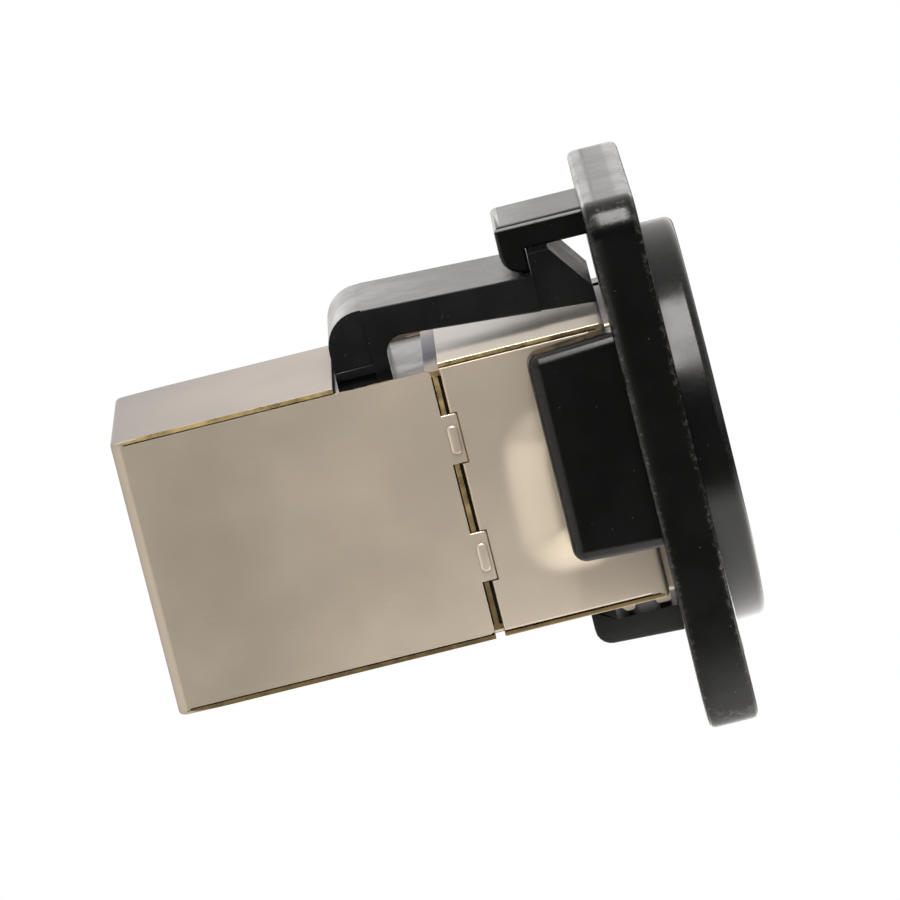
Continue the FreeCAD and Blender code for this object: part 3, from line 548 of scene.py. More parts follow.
class CouplerFinish(bpy.types.PropertyGroup):
    """Colours of the coupler's finishes."""
    paint_dark: colour_property("Paint, dark", "Darker black paint", (0.0008, 0.0008, 0.0008))
    paint_light: colour_property("Paint, light", "Lighter black paint", (0.0018, 0.0017, 0.0017))
    paint_worn: colour_property("Paint, rubbed", "Paint thin on an edge", (0.035, 0.033, 0.032))
    casting_bare: colour_property("Casting, bare", "Bare metal under the paint", (0.62, 0.6, 0.57))
    nickel_dark: colour_property("Nickel, dark", "Darker plated sheet", (0.255, 0.22, 0.178))
    nickel_light: colour_property("Nickel, light", "Lighter plated sheet", (0.455, 0.392, 0.32))
    # Painted highlight colour for the bump.
    nickel_bump_highlight: colour_property("Nickel, rubbed", "Bump, rubbed bright", (0.52, 0.45, 0.36))
    # Painted light: the next two colours brighten the front cover's top under the latch arm, which
    # lies in the arm's shadow.
    nickel_lit_under_arm: colour_property("Nickel, kept", "Untouched plating", (0.72, 0.66, 0.57))
    nickel_grazing: colour_property("Nickel, grazing", "Tint at low angles", (0.5, 0.54, 0.66))
    nickel_lit_under_arm_grazing: colour_property("Nickel, kept, grazing",
                                         "Tint of untouched plating at low angles",
                                         (0.8, 0.8, 0.82))
    brass_dark: colour_property("Brass, dark", "Darker tone of the cut edges", (0.16, 0.115, 0.055))
    brass_light: colour_property("Brass, light", "Lighter tone of the cut edges", (0.56, 0.42, 0.2))
    plastic_dark: colour_property("Plastic, dark", "Darker mouldings", (0.003, 0.003, 0.0032))
    plastic_light: colour_property("Plastic, light", "Lighter mouldings", (0.006, 0.006, 0.0063))
    dust_on_paint: colour_property("Dust on paint", "Specks on the flange", (0.12, 0.12, 0.12))
    dust_on_plastic: colour_property("Dust on plastic", "Specks on the mouldings", (0.2, 0.2, 0.2))
    gold_dark: colour_property("Gold, dark", "Darker tone of the contacts", (0.72, 0.48, 0.17))
    gold_light: colour_property("Gold, light", "Lighter tone of the contacts", (0.95, 0.7, 0.3))
    board_dark: colour_property("Board, dark", "Darker tone of the board", (0.006, 0.055, 0.025))
    board_light: colour_property("Board, light", "Lighter tone of the board", (0.012, 0.09, 0.042))


class CouplerStage(bpy.types.PropertyGroup):
    """Floor, light and camera of the studio."""
    floor_gap: length_property("Floor gap", "Floor below the flange", 0.5)
    floor_size: length_property("Floor size", "Side of the square floor", 4000.0)
    floor_tone: bpy.props.FloatProperty(name="Floor tone", description="Reflectance of the floor",
                                        min=0.0, max=1.0, default=0.8)
    lens: bpy.props.FloatProperty(name="Lens", description="Focal length of the camera",
                                  unit="CAMERA", min=1.0, default=315.0)
    camera_place: bpy.props.FloatVectorProperty(
        name="Camera", description="Where the camera stands", subtype="TRANSLATION", unit="LENGTH",
        size=3, default=(-0.0045695, -0.4491186, 0.0792142))
    azimuth: bpy.props.FloatProperty(name="Azimuth", description="Camera's turn round the object",
                                     subtype="ANGLE", default=math.radians(1.16))
    elevation: bpy.props.FloatProperty(name="Elevation", description="Camera above the horizon",
                                       subtype="ANGLE", default=math.radians(9.78))
    roll: bpy.props.FloatProperty(name="Roll", description="Turn of the picture", subtype="ANGLE",
                                  default=math.radians(14.1))
    softbox: bpy.props.FloatProperty(name="Softbox", description="Power of the upper softbox",
                                     unit="POWER", min=0.0, default=2.4)


# Stage

def bare_tree(owner, kind):
    """The owner's node tree with nothing in it but an output of a kind."""
    owner.use_nodes = True
    tree = owner.node_tree
    tree.nodes.clear()
    return tree, add_node(tree, kind)


def white_to_camera(tree, seen, kind, out):
    """Plain white where the camera looks, and the shader seen for everything else."""
    white = add_node(tree, kind, Color=WHITE, Strength=1.0)
    path = add_node(tree, "ShaderNodeLightPath")
    mixed = add_node(tree, "ShaderNodeMixShader")
    for number, item in enumerate((path.outputs["Is Camera Ray"], seen.outputs[0],
                                   white.outputs[0])):
        link(tree, item, mixed.inputs[number])
    link(tree, mixed.outputs[0], out.inputs["Surface"])


class COUPLER_OT_stage(bpy.types.Operator):
    """Sets the white floor, the studio light and the camera"""
    bl_idname = "coupler.stage"
    bl_label = "Stage"

    def execute(self, context):
        scene = context.scene
        sizes = scene.coupler_stage
        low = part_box("flange_frame")[0][2]
        bm = bmesh.new()
        bmesh.ops.create_grid(bm, x_segments=1, y_segments=1, size=sizes.floor_size / 2)
        bmesh.ops.translate(bm, verts=bm.verts, vec=(0.0, 0.0, low - sizes.floor_gap))
        mesh = bpy.data.meshes.new("floor")
        bm.to_mesh(mesh)
        bm.free()
        floor = bpy.data.objects.new("floor", mesh)
        scene.collection.objects.link(floor)
        floor.data.materials.append(self.floor_material(sizes.floor_tone))
        self.set_world(scene)
        self.add_softbox(scene, sizes)
        self.add_camera(scene, sizes)
        scene.view_settings.view_transform = "Standard"
        return {"FINISHED"}

    def floor_material(self, tone):
        """White to the camera; to the object pale, with a dim ring round a glowing patch."""
        floor = bpy.data.materials.new("floor_white")
        tree, out = bare_tree(floor, "ShaderNodeOutputMaterial")
        place = axes(tree, add_node(tree, "ShaderNodeTexCoord").outputs["Object"])
        across = math_node(tree, "MULTIPLY_ADD", place["X"], 0.75, 0.003)
        ahead = math_node(tree, "MULTIPLY", place["Y"], 1.12)
        square = math_node(tree, "MULTIPLY", ahead, ahead)
        reach = math_node(tree, "SQRT", math_node(tree, "MULTIPLY_ADD", across, across, square))
        slanted = math_node(tree, "MULTIPLY_ADD", place["Y"], -0.06, place["X"])
        dim = math_node(tree, "MULTIPLY", ramp_between(tree, reach, 0.032, 0.05),
                        ramp_between(tree, slanted, -0.037, -0.032))
        shade = mix_colour(tree, dim, (tone, tone, tone * 0.98, 1.0),
                           (tone * 0.15, tone * 0.15, tone * 0.147, 1.0))
        patch = math_node(tree, "MULTIPLY", ramp_between(tree, place["X"], -0.014, 0.004),
                          ramp_between(tree, reach, 0.04, 0.028))
        matt = add_node(tree, "ShaderNodeBsdfDiffuse", Color=shade)
        glow = add_node(tree, "ShaderNodeEmission", Color=(1.0, 0.99, 0.98, 1.0),
                        Strength=math_node(tree, "MULTIPLY", patch, 2.5))
        both = add_node(tree, "ShaderNodeAddShader")
        link(tree, matt.outputs[0], both.inputs[0])
        link(tree, glow.outputs[0], both.inputs[1])
        white_to_camera(tree, both, "ShaderNodeEmission", out)
        return floor

    def set_world(self, scene):
        """White to the camera; to the object a bright room with a darker side in front."""
        world = bpy.data.worlds.new("studio")
        scene.world = world
        tree, out = bare_tree(world, "ShaderNodeOutputWorld")
        place = axes(tree, add_node(tree, "ShaderNodeTexCoord").outputs["Generated"])
        front = math_node(tree, "MAXIMUM", math_node(tree, "MULTIPLY", place["Y"], -1.0), 0.01)
        aside = math_node(tree, "DIVIDE", math_node(tree, "ABSOLUTE", place["X"]), front)
        dark = math_node(tree, "MULTIPLY", ramp_between(tree, aside, 0.75, 0.42),
                         ramp_between(tree, place["Z"], 0.56, 0.44))
        back = math_node(tree, "MULTIPLY", ramp_between(tree, place["Z"], 0.19, 0.06),
                         ramp_between(tree, place["Y"], 0.5, 0.8))
        lit = math_node(tree, "MULTIPLY_ADD", back, 0.5, 1.3)
        room = add_node(tree, "ShaderNodeBackground", Color=(1.0, 0.985, 0.965, 1.0),
                        Strength=math_node(tree, "MULTIPLY_ADD", dark, -1.1, lit))
        white_to_camera(tree, room, "ShaderNodeBackground", out)

    def add_softbox(self, scene, sizes):
        """A wide box in front of and above the object."""
        distance, height = 0.42, math.radians(61)
        lamp = bpy.data.lights.new("softbox", "AREA")
        lamp.shape = "RECTANGLE"
        lamp.size = 0.1
        lamp.size_y = 0.32
        lamp.energy = sizes.softbox
        lamp.color = (1.0, 0.98, 0.95)
        box = bpy.data.objects.new("softbox", lamp)
        scene.collection.objects.link(box)
        direction = Vector((0.05, -math.cos(height), math.sin(height)))
        box.location = direction * distance
        box.rotation_euler = direction.to_track_quat("Z", "Y").to_euler()

    def add_camera(self, scene, sizes):
        """The photograph's angle: turned round, raised, and rolled in the picture."""
        camera = bpy.data.cameras.new("camera")
        camera.sensor_width = 36.0
        camera.lens = sizes.lens
        eye = bpy.data.objects.new("camera", camera)
        scene.collection.objects.link(eye)
        right = Vector((math.cos(sizes.azimuth), math.sin(sizes.azimuth), 0.0))
        ahead = Vector((-math.sin(sizes.azimuth) * math.cos(sizes.elevation),
                        math.cos(sizes.azimuth) * math.cos(sizes.elevation),
                        -math.sin(sizes.elevation)))
        up = right.cross(ahead)
        turn, rise = math.cos(sizes.roll), math.sin(sizes.roll)
        across = right * turn - up * rise
        upward = right * rise + up * turn
        matrix = Matrix((across, upward, -ahead)).transposed().to_4x4()
        matrix.translation = sizes.camera_place
        eye.matrix_world = matrix
        scene.camera = eye


# Flange

class CouplerFlange(bpy.types.PropertyGroup):
    """Sizes of the die-cast flange."""
    thickness: length_property("Thickness", "Thickness of the plate", 3.0)
    corner: length_property("Corner", "Corner radius of the plate", 2.0)
    rim: length_property("Rim", "Rounding of the plate's rims", 0.4)
    ring_rim: length_property("Ring rim", "Rounding of the ring's rim", 0.5)
    wall: length_property("Ring wall", "Thinnest wall of the ring", 0.89)
    window_half_width: length_property("Window width", "Half the window's width", 7.4)
    window_half_height: length_property("Window height", "Half the window's height", 8.15)
    cheek_inner: length_property("Cheek inside", "Inner face of a cheek from the middle", 8.575)
    cheek_thickness: length_property("Cheek thickness", "Thickness of a cheek", 2.6)
    cheek_reach: length_property("Cheek reach", "Cheek behind the plate", 5.1)
    cheek_top: length_property("Cheek top", "Top of the cheek's rear end", 7.65)
    cheek_bottom: length_property("Cheek bottom", "Bottom of the cheek below the axis", 4.5)
    cheek_round: length_property("Cheek rounding", "Rounding of the cheek", 0.75)
    hook_width: length_property("Hook width", "Width of the hook arm and the lip", 8.4)
    hook_reach: length_property("Hook reach", "Hook arm behind the plate", 5.15)
    hook_under: length_property("Hook underside", "Underside of the hook arm above the axis", 12.75)
    hook_top: length_property("Hook top", "Top of the hook arm above the axis", 14.35)
    nose_foot: length_property("Nose", "Lower end of the nose above the axis", 11.45)
    lip_reach: length_property("Lip reach", "Lower lip behind the plate", 5.0)
    lip_floor: length_property("Lip floor", "Floor of the lip below the axis", 9.45)
    lip_thickness: length_property("Lip thickness", "Thickness of the lip", 1.3)
    screw_side: length_property("Screw across", "Screw hole from the middle, across", 9.498)
    screw_height: length_property("Screw height", "Screw hole from the middle, up", 12.0)
    screw_hole: length_property("Screw hole", "Diameter of a screw hole", 3.2)
    wear_depth: length_property("Wear depth", "Depth of the nicks along the rims", 0.02)


class COUPLER_OT_flange(bpy.types.Operator):
    """Casts the flange: plate, ring, window, cheeks, hook arm and lip"""
    bl_idname = "coupler.flange"
    bl_label = "Flange"

    def execute(self, context):
        size = in_mm(context.scene.coupler_flange)
        low, high = corners_mm("flange_frame")
        rear = -size.thickness
        steps = [("UNION", self.ring(size, high)), ("UNION", self.cheeks(size, rear)),
                 ("UNION", self.hook(size, rear)), ("UNION", self.lip(size, rear)),
                 ("DIFFERENCE", self.openings(size, rear, high))]
        bm = combine(self.plate(size, low, high, rear), steps)

        def wear(at):
            """Whole on the plate's rims, slight on what stands behind it and on the ring's rim."""
            if rear - 0.1 < at.x < -0.01:
                return 1.0
            return 0.25 if at.x < rear or at.x > 1.2 else 0.0

        finish_piece("flange_casting", bm, ["flange_paint"],
                     ["flange_frame"], wear)
        return {"FINISHED"}

    def plate(self, size, low, high, rear):
        """Plate with worn rims: fine strips, and nicks pressed into the rounding."""
        coarse, fine = 1.7, 4.3    # nicks per millimetre
        bm = bmesh.new()
        block(bm, (rear, low[1], low[2]), (0.0, high[1], high[2]))
        soften(bm, size.corner, 8, lambda at, span: abs(span.x) > 1.0)
        soften(bm, size.rim, 3, lambda at, span: near(at.x, 0.0) or near(at.x, rear))
        slice_up(bm, 0, rear + size.rim, -size.rim, 0.5)
        slice_up(bm, 2, low[2] + size.corner, high[2] - size.corner, 0.35)
        slice_up(bm, 1, low[1] + size.corner, high[1] - size.corner, 0.6)
        bm.normal_update()
        for corner in bm.verts:
            turned = 1.0 - max(abs(part) for part in corner.normal)
            if turned < 0.02:
                continue
            place = corner.co
            nick = noise.noise(place * coarse) + 0.6 * noise.noise(place * fine)
            depth = size.wear_depth * max(0.0, nick) * min(1.0, turned * 5.0)
            corner.co = place - corner.normal * depth
        return bm

    def ring(self, size, high):
        """The boss that enters the panel's hole, just round enough to hold the window."""
        bm = bmesh.new()
        radius = math.hypot(size.window_half_width, size.window_half_height) + size.wall
        rod(bm, (0.0, 0.0), radius, -0.5, high[0], 160)
        soften(bm, size.ring_rim, 6, lambda at, span: near(at.x, high[0]))
        return bm

    def cheeks(self, size, rear):
        """Two drafted cheeks, rounded outside and at their rear ends."""
        draft = 0.055
        root = rear + 1.0
        back = rear - size.cheek_reach
        rise = draft * (size.cheek_reach + 1.0)
        outline = [(root, -size.cheek_bottom - rise), (root, size.cheek_top + rise),
                   (back, size.cheek_top), (back, -size.cheek_bottom)]
        parts = []
        for side in SIDES:
            bm = bmesh.new()
            outer = side * (size.cheek_inner + size.cheek_thickness)
            inner = side * size.cheek_inner
            prism(bm, outline, 1, inner, outer)
            soften(bm, size.cheek_round, 5, lambda at, span: not near(at.y, inner)
                   and not near(at.x, root) and (near(at.y, outer) or near(at.x, back)))
            parts.append(bm)
        return joined(*parts)

    def hook(self, size, rear):
        """Arm above, with the nose that the latch's catch snaps behind."""
        nose, nose_round, rim, edge = 1.5, 1.2, 0.42, 0.2
        bm = bmesh.new()
        root = rear + 1.0
        back = rear - size.hook_reach
        front = back + nose
        outline = [(root, size.hook_top), (back, size.hook_top), (back, size.nose_foot),
                   (front, size.nose_foot), (front, size.hook_under), (root, size.hook_under)]
        half = size.hook_width / 2
        prism(bm, outline, 1, -half, half)
        soften(bm, nose_round, 6, lambda at, span: near(at.x, back) and near(at.z, size.nose_foot))
        soften(bm, rim, 4, lambda at, span: near(at.z, size.hook_top)
               and (near(at.x, back) or near(abs(at.y), half)))
        soften(bm, edge, 2, lambda at, span: near(abs(at.y), half) and at.x < rear + 0.9
               and at.z < size.hook_top - rim - 0.03)
        return bm

    def lip(self, size, rear):
        """Lower lip with an upturned rim; its underside has a casting's draft."""
        rim, rim_height, draft, corner, edge = 1.4, 1.0, 0.05, 0.9, 0.3
        bm = bmesh.new()
        root = rear + 1.0
        back = rear - size.lip_reach
        floor = -size.lip_floor
        bottom = floor - size.lip_thickness
        top = floor + rim_height
        outline = [(root, bottom - draft * (size.lip_reach + 1.0)), (back, bottom), (back, top),
                   (back + rim, top), (back + rim, floor), (root, floor)]
        half = size.hook_width / 2
        prism(bm, outline, 1, -half, half)
        soften(bm, corner, 5, lambda at, span: near(at.x, back) and near(at.z, bottom))
        soften(bm, edge, 3, lambda at, span: (near(at.x, back) and near(at.z, top))
               or (near(abs(at.y), half) and at.z < floor - 0.1 and at.x < rear + 0.9))
        return bm

    def openings(self, size, rear, high):
        """Window for the neck and the two screw holes."""
        window = bmesh.new()
        block(window, (rear - 1.0, -size.window_half_width, -size.window_half_height),
              (high[0] + 1.0, size.window_half_width, size.window_half_height))
        soften(window, 0.25, 3, lambda at, span: abs(span.x) > 1.0)
        holes = []
        for side in SIDES:
            hole = bmesh.new()
            rod(hole, (side * size.screw_side, -side * size.screw_height), size.screw_hole / 2,
                rear - 1.0, 1.0, 48)
            holes.append(hole)
        return joined(window, *holes)


# Shells

class CouplerShells(bpy.types.PropertyGroup):
    """Sizes of the two folded shells."""
    sheet: length_property("Sheet", "Thickness of the sheet", 0.25)
    bend: length_property("Bend", "Outer radius of the rear shell's upright bends", 0.6)
    cover_bend: length_property("Cover bend", "Outer radius of the rear shell's level bends", 0.25)
    seam: length_property("Seam", "Open seam between a side and a cover", 0.07)
    side_round: length_property("Side corner", "Rounding of a side's free corners", 0.3)
    neck_half_width: length_property("Neck width", "Half the neck's width", 7.25)
    neck_half_height: length_property("Neck height", "Half the neck's height", 8.0)
    shoulder: length_property("Shoulder", "Shoulder of the front shell behind the panel face", 3.3)
    front_end: length_property("Front shell end", "Rear edge of the front shell's sides", 13.0)
    tab_reach: length_property("Tab reach", "Length of the locking tabs", 0.9)
    tab_upper: length_property("Upper tab", "Centre of the upper tab above the axis", 3.72)
    tab_lower: length_property("Lower tab", "Centre of the lower tab below the axis", 3.28)
    tab_height: length_property("Tab height", "Height of a tab", 2.88)
    pip_rise: length_property("Pip rise", "Height of a tab's pressed pip", 0.16)
    cover_end: length_property("Cover end", "Front edge of the rear shell's top cover", 19.15)
    bump_rise: length_property("Bump rise", "Height of the grounding bump", 0.5)
    bump_middle: length_property("Bump middle", "Middle of the bump behind the panel face", 7.95)
    bump_half_length: length_property("Bump length", "Half the bump's length along X", 3.05)
    bump_half_height: length_property("Bump height", "Half the bump's height", 5.0)
    bump_drop: length_property("Bump drop", "Middle of the bump below the axis", 0.2)
    bump_shoulder: length_property("Bump shoulder", "Where the bump's rear border turns in", 3.0)
    bump_slope: length_property("Bump slope", "Width of the bump's sloping border", 2.5)
    port_half_width: length_property("Port width", "Half the plug opening's width", 5.9)
    port_top: length_property("Port top", "Top of the plug opening above the axis", 4.1)
    port_bottom: length_property("Port bottom", "Bottom of the plug opening below the axis", 2.7)


def port_outline(size, turned=1.0):
    """Plug opening with its stepped clip slot; turned is -1 for the slot above."""
    wide, narrow = 3.1, 2.0    # half widths of the slot's two steps
    bottom = -size.port_bottom
    step, end = bottom - 1.5, bottom - 2.7
    right = [(size.port_half_width, size.port_top), (size.port_half_width, bottom), (wide, bottom),
             (wide, step), (narrow, step), (narrow, end)]
    outline = right + [(-across, up) for across, up in reversed(right)]
    return [(across, turned * up) for across, up in outline]


def shell_corners():
    """Lowest and highest corner of the folded box, without its tabs and bumps."""
    low, high = corners_mm("rear_shell")
    low[1], high[1] = -HALF_WIDTH, HALF_WIDTH
    return low, high


def sorted_corners(first, second):
    low = [min(pair) for pair in zip(first, second)]
    high = [max(pair) for pair in zip(first, second)]
    return low, high


def sided_box(start, stop, side, inside, outside, foot, top, finish=0):
    """A box along X that reaches from inside to outside on one of the two sides."""
    return box_shape(*sorted_corners((start, side * inside, foot), (stop, side * outside, top)),
                     finish)


def seams(low, high, start, stop, size):
    """Slots that part the sides from the covers; their walls are bare brass."""
    feet = (low[2] + size.sheet, high[2] - size.sheet - size.seam)
    return [sided_box(start, stop, side, high[1] - size.sheet, high[1] + 0.5, foot,
                      foot + size.seam, 1)
            for side in SIDES for foot in feet]


def tab_places(size):
    return (size.tab_upper, -size.tab_lower)


def cut_lines(bm, low, high, size):
    """Bare brass on the covers' long cut edges, and rounded rims along the seams."""
    for level in (high[2] - size.sheet, low[2] + size.sheet):
        cut_plane(bm, 2, level, 1e-4)
    soften(bm, 0.08, 3, lambda at, span: near(abs(at.y), HALF_WIDTH, 0.01) and abs(span.x) > 0.5
           and (near(at.z, high[2]) or near(at.z, low[2])))
    for face in bm.faces:
        place = face.calc_center_median()
        outside = place.z > high[2] - size.sheet or place.z < low[2] + size.sheet
        if outside and near(abs(place.y), HALF_WIDTH, 0.02) and abs(face.normal.y) > 0.9:
            face.material_index = 1


class COUPLER_OT_front_shell(bpy.types.Operator):
    """Folds the front shell: neck, walls with their bumps, tongue and lug"""
    bl_idname = "coupler.front_shell"
    bl_label = "Front shell"

    def execute(self, context):
        size = in_mm(context.scene.coupler_shells)
        sheet, half = size.sheet, HALF_WIDTH
        low, high = shell_corners()
        front = -size.shoulder
        rear = -size.front_end
        outer = box_shape((rear, -half, low[2]), (front, half, high[2]))
        soften(outer, 0.3, 3, lambda at, span: near(at.x, front))
        inner = box_shape((rear - 1.0, sheet - half, low[2] + sheet),
                          (front - sheet, half - sheet, high[2] - sheet))
        neck, bore, neck_high = self.neck(size, front)
        opening = bmesh.new()
        prism(opening, port_outline(size), 0, neck_high - 1.0, neck_high + 1.0, 1)
        openings = [opening] + seams(low, high, rear - 1.0, front - 2 * sheet, size)
        openings += self.tab_notches(size, rear)
        sides = [self.side_wall(size, side, low, high, front, rear) for side in SIDES]
        margin = sheet + size.seam / 2
        room = [sided_box(rear - 1.0, front - 1.0, side, half + 1.0, half - sheet - 0.02,
                          low[2] + margin, high[2] - margin) for side in SIDES]
        steps = [("DIFFERENCE", inner), ("DIFFERENCE", joined(*room)), ("UNION", joined(*sides)),
                 ("UNION", neck), ("DIFFERENCE", bore),
                 ("UNION", self.tongue(size, low, high, rear)),
                 ("UNION", self.lug(low)), ("DIFFERENCE", joined(*openings)),
                 ("DIFFERENCE", joined(*self.slits(size, low, high, rear)))]
        bm = combine(outer, steps)
        cut_lines(bm, low, high, size)
        self.bare_strip(bm, size, rear)
        # Painted highlight: the bump is brightened from the foot of its slope upwards.
        layer = bm.verts.layers.float.new("rubbed_paint_and_bump_highlight")
        for corner in bm.verts:
            raised = (abs(corner.co.y) - half) / size.bump_rise
            corner[layer] = min(1.0, max(0.0, raised * 3.0 - 0.1))
        finish_piece("folded_front_shell", bm, ["satin_nickel", "cut_brass"],
                     ["front_shell"])
        return {"FINISHED"}

    def neck(self, size, front):
        """The neck that shows in the ring, its bore, and where it ends."""
        sheet = size.sheet
        wide, tall = size.neck_half_width, size.neck_half_height
        end = corners_mm("front_shell")[1][0]
        neck = box_shape((front - sheet, -wide, -tall), (end, wide, tall))
        soften(neck, 0.3, 4, lambda at, span: near(at.x, end) or abs(span.x) > 1.0)
        bore = box_shape((front - sheet - 0.5, sheet - wide, sheet - tall),
                         (end - sheet, wide - sheet, tall - sheet))
        return neck, bore, end

    def tab_notches(self, size, rear):
        """Notches in the sides that the rear shell's tabs lie in, with play all round."""
        play = 0.07
        deep = size.tab_reach - SHELL_GAP + play
        reach = size.tab_height / 2 + play
        return [sided_box(rear - 1.0, rear + deep, side, HALF_WIDTH - size.sheet - 0.01,
                          HALF_WIDTH + 1.0, place - reach, place + reach, 1)
                for side in SIDES for place in tab_places(size)]

    def slits(self, size, low, high, rear):
        """Two upright gaps a side, which leave the strip of sheet that shows in the seam."""
        return [sided_box(start, stop, side, HALF_WIDTH - 2.0 * size.sheet - 0.1,
                          HALF_WIDTH + 0.5, low[2] + 3 * size.sheet, high[2] - 3 * size.sheet, 1)
                for side in SIDES
                for start, stop in ((rear - 0.56, rear - 0.47), (rear - 0.18, rear - 0.005))]

    def bare_strip(self, bm, size, rear):
        """Bare brass on the strip between the slits, with rounded rims."""
        half, sheet = HALF_WIDTH, size.sheet
        strip = rear - 0.32
        for face in bm.faces:
            place = face.calc_center_median()
            if near(place.x, strip, 0.2) and half - 2.2 * sheet < abs(place.y) < half - 0.5 * sheet:
                face.material_index = 1
        soften(bm, 0.08, 3, lambda at, span: near(at.x, strip, 0.17)
               and near(abs(at.y), half - sheet) and abs(span.z) > 0.3)

    def side_wall(self, size, side, low, high, front, rear):
        """One side as a fine grid with the soft bump pressed out of it."""
        bm = bmesh.new()
        half = HALF_WIDTH
        apart = 0.003    # keeps its ends off the covers' planes
        base = low[2] + size.sheet + size.seam + apart
        top = high[2] - size.sheet - size.seam - apart
        length = (front - 0.9) - rear
        made = bmesh.ops.create_grid(bm, x_segments=64, y_segments=96, size=0.5)["verts"]
        bmesh.ops.scale(bm, vec=(length, top - base, 1.0), verts=made)
        quarter = Matrix.Rotation(math.radians(90), 3, "X")
        bmesh.ops.rotate(bm, cent=(0, 0, 0), matrix=quarter, verts=made)
        bmesh.ops.translate(bm, vec=(rear + length / 2, side * half, (base + top) / 2), verts=made)
        for corner in made:
            corner.co.y += side * self.bump(size, corner.co.x, corner.co.z)
        bmesh.ops.recalc_face_normals(bm, faces=bm.faces)
        facing = sum(face.normal.y for face in bm.faces)
        if facing * side < 0:
            bmesh.ops.reverse_faces(bm, faces=bm.faces)
        drawn = bmesh.ops.extrude_face_region(bm, geom=bm.faces[:])["geom"]
        moved = [item for item in drawn if isinstance(item, bmesh.types.BMVert)]
        bmesh.ops.translate(bm, vec=(0.0, -side * size.sheet, 0.0), verts=moved)
        bmesh.ops.recalc_face_normals(bm, faces=bm.faces)
        for face in bm.faces:
            if near(face.calc_center_median().x, rear):
                face.material_index = 1
        soften(bm, 0.09, 3, lambda at, span: near(abs(at.y), half)
               and (near(at.x, rear) or near(at.z, base) or near(at.z, top)))
        return bm

    def bump(self, size, x, z):
        """Height of the pressed bump: an oblong with an even slope, turned in at its shoulder."""
        turn, turn_round = 0.9, 1.6
        rounded = 0.14    # share of the slope that is rounded at its foot and crest
        corner = size.bump_slope
        along = abs(x + size.bump_middle) - size.bump_half_length + corner
        if x < -size.bump_middle:
            above = z - size.bump_shoulder
            along += turn / 2 * (above + math.hypot(above, turn_round))
        up = abs(z + size.bump_drop) - size.bump_half_height + corner
        ramp = 1.0 - math.hypot(max(along, 0.0), max(up, 0.0)) / corner
        if ramp <= -rounded:
            return 0.0
        if ramp < rounded:
            ramp = (ramp + rounded) ** 2 / (4.0 * rounded)
        elif ramp > 1.0 - rounded:
            ramp = 1.0 - max(0.0, 1.0 + rounded - ramp) ** 2 / (4.0 * rounded)
        return size.bump_rise * ramp

    def tongue(self, size, low, high, rear):
        """Tongue that slides into the rear shell; its roof ends early and dips."""
        reach, dip = 1.7, 0.19
        sheet, half = size.sheet, HALF_WIDTH
        grip = sheet - 0.003    # bites into the walls, so that no faces lie on one another
        bm = box_shape((rear - reach, grip - half, low[2] + grip),
                       (rear + 0.8, half - grip, high[2] - grip))
        soften(bm, 0.2, 2, lambda at, span: abs(span.x) > 1.0)
        hollow = box_shape((rear - reach - 1.0, 2 * sheet - half, low[2] + 2 * sheet),
                           (rear + 1.8, half - 2 * sheet, high[2] - 2 * sheet))
        roof = high[2] - 2 * sheet - size.seam
        end = rear - reach / 2
        trim = box_shape((rear - reach - 1.0, -half, roof), (end, half, high[2]))
        bm = combine(bm, [("DIFFERENCE", hollow), ("DIFFERENCE", trim)])
        for corner in bm.verts:
            if near(corner.co.x, end) and corner.co.z > high[2] - 1.5 * sheet:
                corner.co.z -= dip
        return bm

    def lug(self, low):
        """Fixed lug below, in two prongs that stand out of a shallow web."""
        half_width, rim = 3.5, 0.12
        root, foot = low[2] + 0.15, low[2] - 1.15
        rear_web, front_web = low[2] - 0.55, low[2] - 0.6
        outline = [(-6.5, root), (-6.5, rear_web), (-5.95, foot), (-5.5, foot),
                   (-5.25, front_web), (-4.35, front_web), (-4.1, foot), (-3.3, foot), (-3.3, root)]
        bm = bmesh.new()
        prism(bm, outline, 1, -half_width, half_width)
        soften(bm, rim, 3, lambda at, span: near(at.z, foot) and abs(span.y) > 1.0)
        return bm


